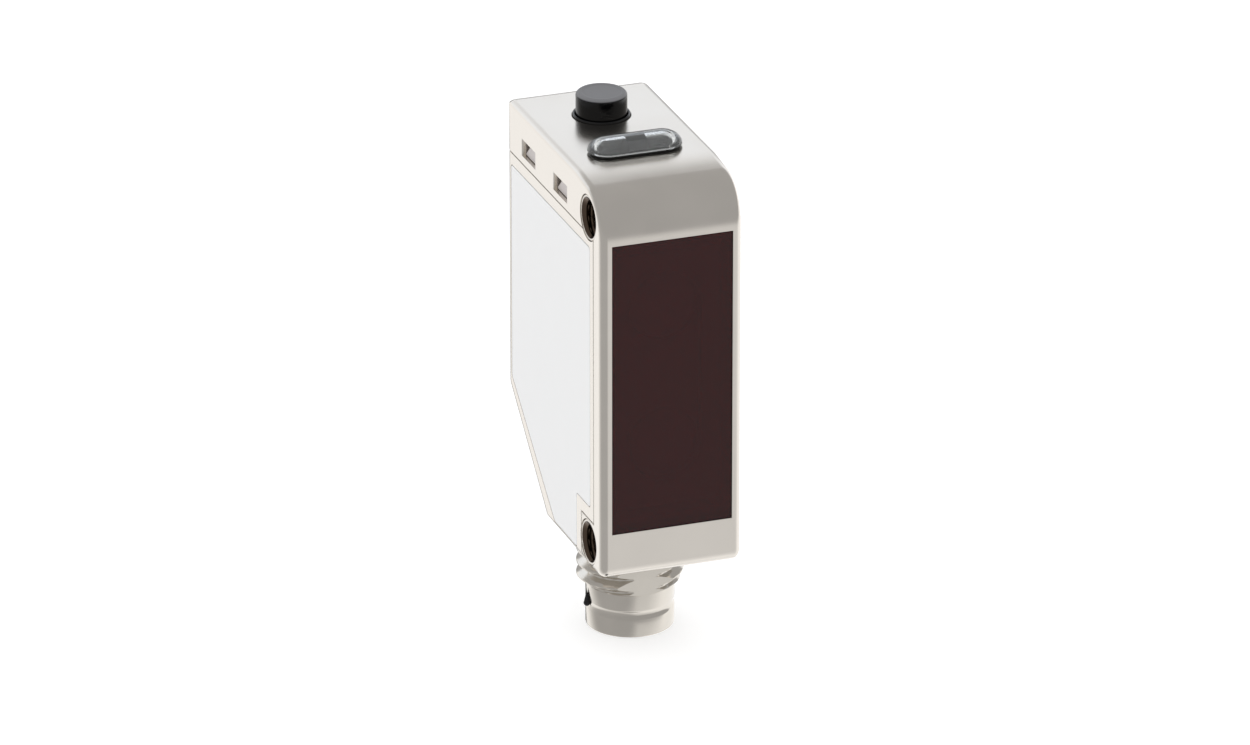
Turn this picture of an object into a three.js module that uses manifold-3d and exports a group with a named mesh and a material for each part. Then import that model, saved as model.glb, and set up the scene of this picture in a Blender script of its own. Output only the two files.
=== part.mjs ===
// Miniature photoelectric sensor: metal housing, M8 connector below, push button and indicator on top.
// Millimetres, +Z up. The front (optical) face looks along -Y, the connector points down.
// Origin: middle of the width and depth, at the level of the connector's open end.

import * as THREE from 'three';
import { mergeVertices } from 'three/addons/utils/BufferGeometryUtils.js';
import Module from 'manifold-3d';

// ---------------------------------------------------------------- driving dimensions

// Housing envelope
const WIDTH = 10.8;
const DEPTH = 21;
const HEIGHT = 30;
const NECK = 7.7;                 // connector below the housing floor
const WALL = 0.7;
const NOSE_RADIUS = 3.5;          // front face to the slope above it
const NOSE_START = 5.7;           // crease where the roof begins to fall, behind the front
const NOSE_SLOPE = 6 * Math.PI / 180;
const NOSE_DROP = NOSE_RADIUS / Math.cos(NOSE_SLOPE)
  + (NOSE_START - NOSE_RADIUS) * Math.tan(NOSE_SLOPE);  // centre of the nose arc, below the roof
const FOOT_RADIUS = 0.9;          // front face to floor
const EDGE_RADIUS = 0.45;         // side faces to front, roof and floor
const REAR_EDGE_RADIUS = 1.25;    // side faces to back and heel
const HEEL_DEPTH = 8;             // sloping heel, measured along Y
const HEEL_HEIGHT = 7.3;          // sloping heel, measured along Z

// Parting line between the front shell and the rear cover, from the front and from the floor
const SEAM_FROM_FRONT = 1.77;
const SEAM_FROM_FLOOR = 26.1;
const NOTCH_FROM_FRONT = 4.4;
const NOTCH_FROM_FLOOR = 3.75;
const SEAM_GAP = 0.06;

// Two M3 through holes, one above the other
const HOLE_PITCH = 25.4;
const HOLE_FROM_FRONT = 2.85;
const HOLE_FROM_FLOOR = 1.95;
const BUSH_RADIUS = 1.7;
const BUSH_BORE_RADIUS = 1.3;
const BUSH_LENGTH = 10.7;
const BOSS_RADIUS = 2.4;

// Front window
const WINDOW_WIDTH = 9.1;
const WINDOW_HEIGHT = 22.4;
const WINDOW_FROM_FLOOR = 3.6;
const WINDOW_THICKNESS = 1;
const WINDOW_SINK = 0.05;
const WINDOW_LEDGE = 0.45;
const SEAL_THICKNESS = 0.2;

// Side plates
const PLATE_THICKNESS = 0.08;
const PLATE_RECESS = 0.1;
const PLATE_FRONT = 2.6;          // from the front face
const PLATE_REAR = 19.6;
const PLATE_TOP = 25.1;           // from the floor
const PLATE_LOW = 0.5;
const PLATE_NOTCH_FRONT = 5.5;    // the plate steps round the lower bush
const PLATE_NOTCH_TOP = 4.8;
const PLATE_HEEL_FRONT = 10.2;    // the plate's own slope above the heel
const PLATE_HEEL_TOP = 8.4;

// Snap pockets in the side strips: rear end from the front face, and height from the floor
const POCKET_LENGTH = 2.88;
const POCKET_HEIGHT = 1.3;
const POCKET_FROM_FLOOR = 26.7;
const POCKET_STARTS = [7.43, 14.3];
const HOOK_SINK = 0.3;            // nose face below the side face
const HOOK_CORNER = 1.2;          // cut corner of the nose, along Y
const HOOK_CORNER_HEIGHT = 1.1;   // cut corner of the nose, along Z

// Optics
const LENS_PITCH = 10.9;
const LENS_RADIUS = 2.65;
const LENS_EDGE = 0.6;
const LENS_CROWN = 0.7;
const CHAMBER_RADIUS = 2.75;
const CHAMBER_REAR_RADIUS = 1.3;
const BEZEL_DEPTH = 0.5;

// Boards and what stands on them
const BOARD_THICKNESS = 0.6;
const CHIP_HEIGHT = 0.8;

// Indicator on the roof
const PILL_LENGTH = 7.1;
const PILL_WIDTH = 3;
const PILL_FROM_FRONT = 8;
const PILL_HEIGHT = 1.12;         // above the roof
const PILL_SHELL = 0.3;
const PILL_STEM_INSET = 0.35;
const PILL_SEAL_HEIGHT = 0.16;
const DIVIDER_WIDTH = 1.5;

// Push button
const BUTTON_FROM_FRONT = 15.1;
const BUTTON_RADIUS = 1.89;
const BUTTON_RISE = 1.8;          // above the roof
const BUTTON_TRAVEL = 0.5;
const BUTTON_CLEARANCE = 0.05;
const BUTTON_SEAL_RADIUS = 2.12;
const BUTTON_SEAL_RISE = 0.16;

// M8 x 1 connector
const CONNECTOR_FROM_FRONT = 9;
const THREAD_RADIUS = 3.95;
const THREAD_PITCH = 1;
const THREAD_DEPTH = 0.54;
const THREAD_START = 3.35;        // lower end of the thread
const SLEEVE_RADIUS = 3.28;
const FLAT_DISTANCE = 3.31;       // two flats across the thread, from the axis
const SOCKET_RADIUS = 2.85;
const GROOVE_LOW = 1.47;
const GROOVE_HIGH = 2.13;
const GROOVE_DEPTH = 0.12;
const INSERT_FACE = 4.9;          // bottom of the socket
const PIN_RADIUS = 0.5;
const PIN_TAIL_RADIUS = 0.3;
const PIN_TIP = 1.3;
const PIN_PLACES = [[-1.3, 0.75], [1.3, 0.75], [-0.95, -1.15], [0.95, -1.15]];
const FLANGE_RADIUS = 4.1;
const NIB_LOW = 1.63;             // drop-shaped coding nib on the left of the sleeve
const NIB_TIP = 3.1;
const NIB_RADIUS = 0.25;
const NIB_STAND_OFF = 0.08;       // nib axis outside the sleeve's surface
const NIB_SKIN_GAP = 0.02;
const NIB_ARC = 0.7 * Math.PI;    // round lower end, from its lowest point up past the widest one
const NIB_SHOULDER = 2.9;         // height of its shoulder, in nib radii
const NIB_NECK = 0.45;            // radius there, in nib radii

// Fit between pieces that stay still
const FIT = 0.04;
const ROUND = 32;

// ---------------------------------------------------------------- places worked out from them

const FRONT = -DEPTH / 2;
const BACK = DEPTH / 2;
const FLOOR = NECK;
const ROOF = NECK + HEIGHT;
const HALF = WIDTH / 2;
const INNER_HALF = HALF - WALL;
const CEILING = ROOF - WALL;
const HEEL_ANGLE = Math.atan2(HEEL_HEIGHT, HEEL_DEPTH);
const HOLE_Y = FRONT + HOLE_FROM_FRONT;
const HOLE_LEVELS = [FLOOR + HOLE_FROM_FLOOR, FLOOR + HOLE_FROM_FLOOR + HOLE_PITCH];
const WINDOW_LOW = FLOOR + WINDOW_FROM_FLOOR;
const WINDOW_MIDDLE = WINDOW_LOW + WINDOW_HEIGHT / 2;
const WINDOW_FACE = FRONT + WINDOW_SINK;
const WINDOW_REAR = WINDOW_FACE + WINDOW_THICKNESS;
const LEDGE_FACE = WINDOW_REAR + SEAL_THICKNESS + 2 * FIT;
const LEDGE_REAR = LEDGE_FACE + 0.4;
const POCKET_LOW = FLOOR + POCKET_FROM_FLOOR;
const PILL_Y = FRONT + PILL_FROM_FRONT;
const BUTTON_Y = FRONT + BUTTON_FROM_FRONT;
const CONNECTOR_Y = FRONT + CONNECTOR_FROM_FRONT;
const FLOOR_INSIDE = FLOOR + WALL;

// Inner chassis
const CARRIER_HALF = 4.3;
const CARRIER_FRONT = LEDGE_REAR + 0.06;
const CARRIER_REAR = -3.4;
const CARRIER_LOW = 12.4;
const CARRIER_HIGH = 32.3;
const RAIL_OUTSIDE = INNER_HALF - 0.1;
const RAIL_INSIDE = 4.05;
const RAIL_LOW = 34.3;
const RAIL_HIGH = 34.8;
const RAIL_REAR = 8.6;
const RISER_FRONT = -5.1;
const RISER_REAR = -4.2;
const RISER_HIGH = 35.8;
const RAIL_FRONT = RISER_REAR + 0.1;

// Boards
const OPTICS_BOARD_FRONT = CARRIER_REAR + 0.1;
const OPTICS_BOARD_REAR = OPTICS_BOARD_FRONT + BOARD_THICKNESS;
const MAIN_BOARD_FRONT = OPTICS_BOARD_REAR + 0.1;
const MAIN_BOARD_REAR = 8.9;
const MAIN_BOARD_LOW = 11.3;
const MAIN_BOARD_HIGH = 33.2;
const UI_BOARD_LOW = 33.6;
const UI_BOARD_TOP = UI_BOARD_LOW + BOARD_THICKNESS;

// Button stack, from the top down
const SEAL_FLANGE_LOW = CEILING - 0.4;
const CAP_FLANGE_TOP = SEAL_FLANGE_LOW - 0.05;
const CAP_LOW = CAP_FLANGE_TOP - 0.3;
const SWITCH_LOW = UI_BOARD_TOP + FIT;
const SWITCH_TOP = SWITCH_LOW + 1.2;
const SWITCH_HOLE_RADIUS = 0.8;
const SWITCH_HOLE_FLOOR = SWITCH_LOW + 0.3;
const PLUNGER_RADIUS = 0.65;
const PLUNGER_LOW = SWITCH_HOLE_FLOOR + BUTTON_TRAVEL + 0.14;
const DOME_HEIGHT = PLUNGER_LOW - SWITCH_HOLE_FLOOR - 2 * FIT;

// ---------------------------------------------------------------- solids and booleans

const wasm = await Module();
wasm.setup();

// A closed mesh as a solid that can be joined and cut
function solid(geometry) {
  const bare = geometry.clone();
  bare.deleteAttribute('normal');
  bare.deleteAttribute('uv');
  const merged = mergeVertices(bare, 1e-5);
  return new wasm.Manifold(new wasm.Mesh({
    numProp: 3,
    vertProperties: new Float32Array(merged.attributes.position.array),
    triVerts: new Uint32Array(merged.index.array),
  }));
}

// A solid back to a geometry with flat facets
function surface(body) {
  const mesh = body.getMesh();
  const geometry = new THREE.BufferGeometry();
  geometry.setAttribute('position', new THREE.BufferAttribute(mesh.vertProperties, 3));
  geometry.setIndex(new THREE.BufferAttribute(mesh.triVerts, 1));
  const facets = geometry.toNonIndexed();
  facets.computeVertexNormals();
  return facets;
}

const joinAll = (bodies) => bodies.reduce((all, body) => all.add(body));
const cutAll = (body, cutters) => cutters.reduce((rest, cutter) => rest.subtract(cutter), body);

// Outlines drawn in the side view (Y, Z) become solids across the width
const SIDE_VIEW = new THREE.Matrix4().makeBasis(
  new THREE.Vector3(0, 1, 0),
  new THREE.Vector3(0, 0, 1),
  new THREE.Vector3(1, 0, 0),
);

function extrudeSide(shape, xLow, xHigh, curveSegments = 12) {
  const options = { depth: xHigh - xLow, bevelEnabled: false, curveSegments };
  const geometry = new THREE.ExtrudeGeometry(shape, options);
  return geometry.applyMatrix4(SIDE_VIEW).translate(xLow, 0, 0);
}

// A side-view outline across the whole width, its edges rounded to the side faces.
// The outline is given already inset by the radius, and the bevel grows it back.
function extrudeRounded(insetShape, radius, bevelSegments) {
  const geometry = new THREE.ExtrudeGeometry(insetShape, {
    depth: WIDTH - 2 * radius,
    bevelEnabled: true,
    bevelThickness: radius,
    bevelSize: radius,
    bevelSegments,
    curveSegments: 10,
  });
  return geometry.applyMatrix4(SIDE_VIEW).translate(radius - HALF, 0, 0);
}

// Outlines drawn in plan (X, Y), made upright
function extrudeUp(shape, zLow, zHigh, curveSegments = 12) {
  const options = { depth: zHigh - zLow, bevelEnabled: false, curveSegments };
  return new THREE.ExtrudeGeometry(shape, options).translate(0, 0, zLow);
}

function box(x, y, z) {
  const geometry = new THREE.BoxGeometry(x[1] - x[0], y[1] - y[0], z[1] - z[0]);
  return geometry.translate((x[0] + x[1]) / 2, (y[0] + y[1]) / 2, (z[0] + z[1]) / 2);
}

const both = (half) => [-half, half];
const around = (middle, size) => [middle - size / 2, middle + size / 2];

// A bar along X, for the two through holes
function crossBar(radius, length, y, z) {
  const bar = new THREE.CylinderGeometry(radius, radius, length, ROUND);
  return bar.rotateZ(Math.PI / 2).translate(0, y, z);
}

// A turned piece: [radius, height] pairs spun round the Z axis
function turned(profile, segments = ROUND) {
  const points = profile.map(([radius, height]) => new THREE.Vector2(radius, height));
  return new THREE.LatheGeometry(points, segments).rotateX(Math.PI / 2);
}

function polygon(points) {
  return new THREE.Shape(points.map(([u, v]) => new THREE.Vector2(u, v)));
}

function stadium(length, width) {
  const radius = width / 2;
  const reach = length / 2 - radius;
  const shape = new THREE.Shape();
  shape.moveTo(-reach, -radius);
  shape.lineTo(reach, -radius);
  shape.absarc(reach, 0, radius, -Math.PI / 2, Math.PI / 2, false);
  shape.lineTo(-reach, radius);
  shape.absarc(-reach, 0, radius, Math.PI / 2, 1.5 * Math.PI, false);
  return shape;
}

function disc(radius, holes = []) {
  const shape = new THREE.Shape().absarc(0, 0, radius, 0, 2 * Math.PI, false);
  holes.forEach(([x, y, holeRadius]) => {
    shape.holes.push(new THREE.Path().absarc(x, y, holeRadius, 0, 2 * Math.PI, true));
  });
  return shape;
}

// ---------------------------------------------------------------- materials and scene graph

function metal(color, roughness) {
  return new THREE.MeshStandardMaterial({ color, roughness, metalness: 1 });
}

function plastic(color, roughness, opacity = 1) {
  const transparent = opacity < 1;
  return new THREE.MeshStandardMaterial({ color, roughness, metalness: 0, opacity, transparent });
}

const MATERIALS = {
  casting: metal(0xc9c4be, 0.35),
  bush: metal(0xb9b4ae, 0.3),
  plate: plastic(0xececec, 0.5),
  nickel: metal(0xc8c1b6, 0.25),
  gold: metal(0xd9b25a, 0.25),
  spring: metal(0xc0c0c0, 0.3),
  filter: plastic(0x3a2426, 0.15, 0.9),
  lens: plastic(0xbfc4d0, 0.1, 0.6),
  clear: plastic(0xdfe3e3, 0.08, 0.4),
  blackPlastic: plastic(0x1b1b1c, 0.5),
  greyPlastic: plastic(0xc9c4c1, 0.5),
  rubber: plastic(0x141414, 0.7),
  board: plastic(0x1f5a38, 0.5),
  polyimide: plastic(0xb4762a, 0.4),
  chip: plastic(0x202124, 0.6),
  led: plastic(0xe8e4cf, 0.3),
};

const sensor = new THREE.Group();

function addTo(parent, name, geometry, material) {
  const mesh = new THREE.Mesh(geometry, MATERIALS[material]);
  mesh.name = name;
  parent.add(mesh);
  return mesh;
}

function groupAt(x, y, z) {
  const group = new THREE.Group();
  group.position.set(x, y, z);
  sensor.add(group);
  return group;
}

// ---------------------------------------------------------------- housing

// Side view of the housing, moved inwards by inset on every side
function housingOutline(inset) {
  const front = FRONT + inset;
  const low = FLOOR + inset;
  const high = ROOF - inset;
  const back = BACK - inset;
  const heelFront = BACK - HEEL_DEPTH - inset * Math.tan(HEEL_ANGLE / 2);
  const heelTop = FLOOR + HEEL_HEIGHT + inset * Math.tan(Math.PI / 4 - HEEL_ANGLE / 2);
  const crease = FRONT + NOSE_START + inset * Math.tan(NOSE_SLOPE / 2);
  const nose = NOSE_RADIUS - inset;
  const foot = Math.max(FOOT_RADIUS - inset, 0.1);
  const shape = new THREE.Shape();
  shape.moveTo(front + foot, low);
  shape.lineTo(heelFront, low);
  shape.lineTo(back, heelTop);
  shape.lineTo(back, high);
  shape.lineTo(crease, high);
  shape.absarc(front + nose, ROOF - NOSE_DROP, nose, Math.PI / 2 + NOSE_SLOPE, Math.PI, false);
  shape.lineTo(front, low + foot);
  shape.absarc(front + foot, low + foot, foot, Math.PI, 1.5 * Math.PI, false);
  return shape;
}

// Back and heel alone, run on far past the housing to the front, top and bottom
function rearOutline(inset) {
  const reach = 30;
  const back = BACK - inset;
  const heelTop = FLOOR + HEEL_HEIGHT + inset * Math.tan(Math.PI / 4 - HEEL_ANGLE / 2);
  return polygon([
    [back - reach, heelTop - reach * Math.tan(HEEL_ANGLE)],
    [back, heelTop],
    [back, ROOF + reach],
    [back - reach, ROOF + reach],
  ]);
}

// Side view of everything in front of and above the parting line, moved back by gap
function frontRegion(gap) {
  const reach = 60;
  const notchY = FRONT + NOTCH_FROM_FRONT + gap;
  const notchZ = FLOOR + NOTCH_FROM_FLOOR + gap;
  const seamY = FRONT + SEAM_FROM_FRONT + gap;
  const seamZ = FLOOR + SEAM_FROM_FLOOR - gap;
  return polygon([
    [-reach, -reach], [notchY, -reach], [notchY, notchZ], [seamY, notchZ],
    [seamY, seamZ], [reach, seamZ], [reach, reach], [-reach, reach],
  ]);
}

const envelope = solid(extrudeRounded(housingOutline(EDGE_RADIUS), EDGE_RADIUS, 4))
  .intersect(solid(extrudeRounded(rearOutline(REAR_EDGE_RADIUS), REAR_EDGE_RADIUS, 5)));
const cavity = solid(extrudeSide(housingOutline(WALL), -INNER_HALF, INNER_HALF));
const roomInside = solid(extrudeSide(housingOutline(WALL + FIT), FIT - INNER_HALF, INNER_HALF - FIT));
const bushHoles = HOLE_LEVELS.map((z) => solid(crossBar(BUSH_RADIUS + FIT, WIDTH + 2, HOLE_Y, z)));

function frontShell() {
  const region = solid(extrudeSide(frontRegion(0), -WIDTH, WIDTH));
  const bossSpace = envelope.intersect(region).add(roomInside);
  const bosses = HOLE_LEVELS.map((z) => (
    solid(crossBar(BOSS_RADIUS, 2 * (INNER_HALF - FIT), HOLE_Y, z)).intersect(bossSpace)
  ));
  const windowHigh = WINDOW_LOW + WINDOW_HEIGHT;
  // A thick frame behind the window, stepped to a ledge
  const frame = solid(box(both(INNER_HALF), [FRONT + 0.3, LEDGE_REAR], [FLOOR + 0.5, windowHigh + 1]))
    .intersect(envelope);
  const opening = solid(box(
    both(WINDOW_WIDTH / 2 + FIT),
    [FRONT - 1, LEDGE_FACE],
    [WINDOW_LOW - FIT, windowHigh + FIT],
  ));
  const lightWay = solid(box(
    both(WINDOW_WIDTH / 2 - WINDOW_LEDGE),
    [FRONT - 1, LEDGE_REAR + 1],
    [WINDOW_LOW + WINDOW_LEDGE + 0.2, windowHigh - WINDOW_LEDGE - 0.2],
  ));
  const pockets = POCKET_STARTS.map((start) => solid(box(
    both(WIDTH),
    [FRONT + start, FRONT + start + POCKET_LENGTH],
    [POCKET_LOW, POCKET_LOW + POCKET_HEIGHT],
  )));
  const trim = 2 * (PILL_STEM_INSET - FIT);
  const pillHole = stadium(PILL_LENGTH - trim, PILL_WIDTH - trim);
  const pillCut = solid(extrudeUp(pillHole, CEILING - 1, ROOF + 1, 8).translate(0, PILL_Y, 0));
  const buttonHole = extrudeUp(disc(BUTTON_SEAL_RADIUS + FIT), CEILING - 1, ROOF + 1);
  const buttonCut = solid(buttonHole.translate(0, BUTTON_Y, 0));
  const skin = envelope.intersect(region).subtract(cavity);
  return cutAll(joinAll([skin, frame, ...bosses]), [
    opening, lightWay, pillCut, buttonCut, ...pockets, ...bushHoles,
  ]);
}

// The plate lies in a shallow recess of the cover; grow widens the outline for the recess
function plateOutline(grow) {
  const low = FLOOR + PLATE_LOW - grow;
  const front = FRONT + PLATE_FRONT - grow;
  const notchY = FRONT + PLATE_NOTCH_FRONT - grow;
  const notchZ = FLOOR + PLATE_NOTCH_TOP - grow;
  const rear = FRONT + PLATE_REAR + grow;
  const high = FLOOR + PLATE_TOP + grow;
  return polygon([
    [notchY, low], [FRONT + PLATE_HEEL_FRONT + grow / 2, low], [rear, FLOOR + PLATE_HEEL_TOP - grow / 2],
    [rear, high], [front, high], [front, notchZ], [notchY, notchZ],
  ]);
}

function rearCover() {
  const region = solid(extrudeSide(frontRegion(SEAM_GAP), -WIDTH, WIDTH));
  const recessFloor = HALF - PLATE_RECESS;
  const recesses = [
    solid(extrudeSide(plateOutline(FIT), recessFloor, HALF + 1)),
    solid(extrudeSide(plateOutline(FIT), -HALF - 1, -recessFloor)),
  ];
  const connectorHole = new THREE.CylinderGeometry(SLEEVE_RADIUS + 0.36, SLEEVE_RADIUS + 0.36, 6, ROUND);
  const counterbore = new THREE.CylinderGeometry(FLANGE_RADIUS + 0.1, FLANGE_RADIUS + 0.1, 2, ROUND);
  return cutAll(envelope.subtract(region).subtract(cavity), [
    ...recesses,
    ...bushHoles,
    solid(connectorHole.rotateX(Math.PI / 2).translate(0, CONNECTOR_Y, FLOOR)),
    solid(counterbore.rotateX(Math.PI / 2).translate(0, CONNECTOR_Y, FLOOR_INSIDE + 1)),
  ]);
}

function mountingBush() {
  const chamfer = 0.2;
  const end = BUSH_LENGTH / 2;
  const profile = [
    [BUSH_BORE_RADIUS + chamfer, -end], [BUSH_RADIUS, -end], [BUSH_RADIUS, end],
    [BUSH_BORE_RADIUS + chamfer, end], [BUSH_BORE_RADIUS, end - chamfer],
    [BUSH_BORE_RADIUS, -end + chamfer], [BUSH_BORE_RADIUS + chamfer, -end],
  ];
  return turned(profile).rotateY(Math.PI / 2);
}

addTo(sensor, 'front_shell', surface(frontShell()), 'casting');
addTo(sensor, 'rear_cover', surface(rearCover()), 'casting');
['lower', 'upper'].forEach((place, i) => {
  const bush = addTo(sensor, `${place}_mounting_bush`, mountingBush(), 'bush');
  bush.position.set(0, HOLE_Y, HOLE_LEVELS[i]);
});
[['left', -1], ['right', 1]].forEach(([side, sign]) => {
  const inner = HALF - PLATE_RECESS + 0.01;
  const faces = [sign * inner, sign * (inner + PLATE_THICKNESS)].sort((a, b) => a - b);
  addTo(sensor, `${side}_side_plate`, extrudeSide(plateOutline(0), faces[0], faces[1]), 'plate');
});

// ---------------------------------------------------------------- window and optics

const optics = groupAt(0, 0, WINDOW_MIDDLE);

function windowSeal() {
  const outer = box(
    both(WINDOW_WIDTH / 2),
    [WINDOW_REAR + FIT, WINDOW_REAR + FIT + SEAL_THICKNESS],
    both(WINDOW_HEIGHT / 2),
  );
  const inner = box(
    both(WINDOW_WIDTH / 2 - WINDOW_LEDGE),
    [WINDOW_REAR - 1, WINDOW_REAR + 2],
    both(WINDOW_HEIGHT / 2 - WINDOW_LEDGE - 0.2),
  );
  return surface(solid(outer).subtract(solid(inner)));
}

// Moulded optics block with two light chambers, and a riser behind the upper bush
function opticsCarrier() {
  const block = solid(box(both(CARRIER_HALF), [CARRIER_FRONT, CARRIER_REAR], [CARRIER_LOW, CARRIER_HIGH]));
  const riser = solid(box(both(CARRIER_HALF), [RISER_FRONT, RISER_REAR], [CARRIER_HIGH - 1, RISER_HIGH]));
  const bezel = stadium(LENS_PITCH + 2 * CHAMBER_RADIUS, 2 * CHAMBER_RADIUS);
  const bezelCut = extrudeUp(bezel, -1, BEZEL_DEPTH, 8)
    .rotateY(Math.PI / 2).rotateZ(Math.PI / 2).translate(0, CARRIER_FRONT, WINDOW_MIDDLE);
  const cutters = [solid(bezelCut)];
  const seatDepth = BEZEL_DEPTH + LENS_EDGE + 0.3;
  [-1, 1].forEach((sign) => {
    const z = WINDOW_MIDDLE + sign * LENS_PITCH / 2;
    const depth = CARRIER_REAR - CARRIER_FRONT;
    // lens seat, then a funnel that narrows to the board
    const chamber = turned([
      [0, -1], [CHAMBER_RADIUS, -1], [CHAMBER_RADIUS, seatDepth], [CHAMBER_RADIUS - 0.35, seatDepth],
      [CHAMBER_REAR_RADIUS, depth + 0.5], [0, depth + 0.5],
    ], 28);
    cutters.push(solid(chamber.rotateX(-Math.PI / 2).translate(0, CARRIER_FRONT, z)));
  });
  return cutAll(block.add(riser), cutters);
}

// U-shaped snap frame: two rails on the upper board, a rear bar, and noses that stand in the side pockets
function snapFrame() {
  const rear = solid(box(both(RAIL_OUTSIDE), [RAIL_REAR - 0.5, RAIL_REAR], [RAIL_LOW, RAIL_HIGH]));
  const pieces = [rear];
  [-1, 1].forEach((sign) => {
    const span = (a, b) => [sign * a, sign * b].sort((p, q) => p - q);
    pieces.push(solid(box(span(RAIL_INSIDE, RAIL_OUTSIDE), [RAIL_FRONT, RAIL_REAR], [RAIL_LOW, RAIL_HIGH])));
    POCKET_STARTS.forEach((start) => {
      const y = [FRONT + start + FIT, FRONT + start + POCKET_LENGTH - FIT];
      const z = [POCKET_LOW + FIT, POCKET_LOW + POCKET_HEIGHT - FIT];
      const nose = polygon([
        [y[0], z[0]], [y[1], z[0]], [y[1], z[1] - HOOK_CORNER_HEIGHT],
        [y[1] - HOOK_CORNER, z[1]], [y[0], z[1]],
      ]);
      const [low, high] = span(RAIL_INSIDE + 0.2, HALF - HOOK_SINK);
      pieces.push(solid(extrudeSide(nose, low, high)));
    });
  });
  return joinAll(pieces);
}

function lens() {
  const profile = [[0, LENS_EDGE], [LENS_RADIUS, LENS_EDGE], [LENS_RADIUS, 0]];
  const steps = 6;
  for (let i = 1; i <= steps; i += 1) {
    const angle = (Math.PI / 2) * (i / steps);
    profile.push([LENS_RADIUS * Math.cos(angle), -LENS_CROWN * Math.sin(angle)]);
  }
  profile[profile.length - 1][0] = 0;
  return turned(profile.reverse(), 28).rotateX(-Math.PI / 2);
}

addTo(optics, 'front_window', box(
  both(WINDOW_WIDTH / 2), [WINDOW_FACE, WINDOW_REAR], both(WINDOW_HEIGHT / 2),
), 'filter');
addTo(optics, 'window_seal', windowSeal(), 'rubber');
addTo(sensor, 'optics_carrier', surface(opticsCarrier()), 'blackPlastic');
addTo(sensor, 'snap_frame', surface(snapFrame()), 'greyPlastic');
[['receiver', 1], ['emitter', -1]].forEach(([role, sign]) => {
  const mesh = addTo(optics, `${role}_lens`, lens(), 'lens');
  mesh.position.set(0, CARRIER_FRONT + BEZEL_DEPTH + 0.26, sign * LENS_PITCH / 2);
});

const opticsBoard = box(
  both(CARRIER_HALF - 0.1), [OPTICS_BOARD_FRONT, OPTICS_BOARD_REAR],
  [CARRIER_LOW - WINDOW_MIDDLE, CARRIER_HIGH - WINDOW_MIDDLE],
);
addTo(optics, 'optics_board', opticsBoard, 'board');
const emitterLed = box(both(0.8), [OPTICS_BOARD_FRONT - 0.75, OPTICS_BOARD_FRONT - 0.02], both(0.6));
addTo(optics, 'emitter_led', emitterLed, 'led').position.z = -LENS_PITCH / 2;
const photodiode = box(both(0.85), [OPTICS_BOARD_FRONT - 0.6, OPTICS_BOARD_FRONT - 0.02], both(0.85));
addTo(optics, 'receiver_photodiode', photodiode, 'chip').position.z = LENS_PITCH / 2;

// ---------------------------------------------------------------- boards

const HALF_BOARD = BOARD_THICKNESS / 2;
const boardHeel = 5.2;
const mainBoardShape = polygon([
  [MAIN_BOARD_FRONT, MAIN_BOARD_LOW], [MAIN_BOARD_REAR - boardHeel - 1, MAIN_BOARD_LOW],
  [MAIN_BOARD_REAR, MAIN_BOARD_LOW + boardHeel], [MAIN_BOARD_REAR, MAIN_BOARD_HIGH],
  [MAIN_BOARD_FRONT, MAIN_BOARD_HIGH],
]);
addTo(sensor, 'main_board', extrudeSide(mainBoardShape, -HALF_BOARD, HALF_BOARD), 'board');

// Components on the two faces of the main board: [name, side, depth, height, rise, y, z]
[
  ['control_chip', 1, 4, 4, CHIP_HEIGHT, 3, 26],
  ['output_driver_chip', -1, 3, 3, CHIP_HEIGHT, 3.4, 18.4],
  ['buffer_capacitor', 1, 1.6, 3.2, 1.5, 2.2, 17.5],
  ['protection_diode', -1, 1.4, 2.6, 1, 1, 25],
].forEach(([name, side, depth, height, rise, y, z]) => {
  const base = HALF_BOARD + 0.02;
  const x = [side * base, side * (base + rise)].sort((a, b) => a - b);
  addTo(sensor, name, box(x, around(0, depth), around(0, height)), 'chip').position.set(0, y, z);
});

const uiBoard = box(both(CARRIER_HALF), [RISER_REAR + 0.1, RAIL_REAR - 0.1], [UI_BOARD_LOW, UI_BOARD_TOP]);
addTo(sensor, 'ui_board', uiBoard, 'board');

// Flexible strip from the rear edge of the upper board down the rear edge of the main board
function flexLink() {
  const thickness = 0.12;
  const bend = 0.7;
  const start = RAIL_REAR - 0.06;
  const level = UI_BOARD_LOW + BOARD_THICKNESS / 2;
  const shape = new THREE.Shape();
  shape.moveTo(start, level + thickness);
  shape.lineTo(start, level);
  shape.absarc(start, level - bend, bend, Math.PI / 2, 0, true);
  shape.lineTo(start + bend, level - 6);
  shape.lineTo(start + bend + thickness, level - 6);
  shape.lineTo(start + bend + thickness, level - bend);
  shape.absarc(start, level - bend, bend + thickness, 0, Math.PI / 2, false);
  return extrudeSide(shape, -1.5, 1.5, 6);
}
addTo(sensor, 'flex_link', flexLink(), 'polyimide');

// ---------------------------------------------------------------- indicator

const indicator = groupAt(0, PILL_Y, 0);

// Upper half of a flattened capsule, standing on the given level
function dome(length, width, low, height) {
  const rim = width / 2 - 0.1;
  const geometry = new THREE.ExtrudeGeometry(stadium(length - 2 * rim, width - 2 * rim), {
    depth: 0.02,
    bevelEnabled: true,
    bevelThickness: height,
    bevelSize: rim,
    bevelSegments: 4,
    curveSegments: 7,
  });
  const keep = box(both(length), both(width), [low, low + height + 1]);
  return solid(geometry.translate(0, 0, low - 0.02)).intersect(solid(keep));
}

const domeLow = ROOF + PILL_SEAL_HEIGHT + FIT;
const domeHeight = PILL_HEIGHT - PILL_SEAL_HEIGHT - FIT;
const stemLength = PILL_LENGTH - 2 * PILL_STEM_INSET;
const stemWidth = PILL_WIDTH - 2 * PILL_STEM_INSET;

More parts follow.
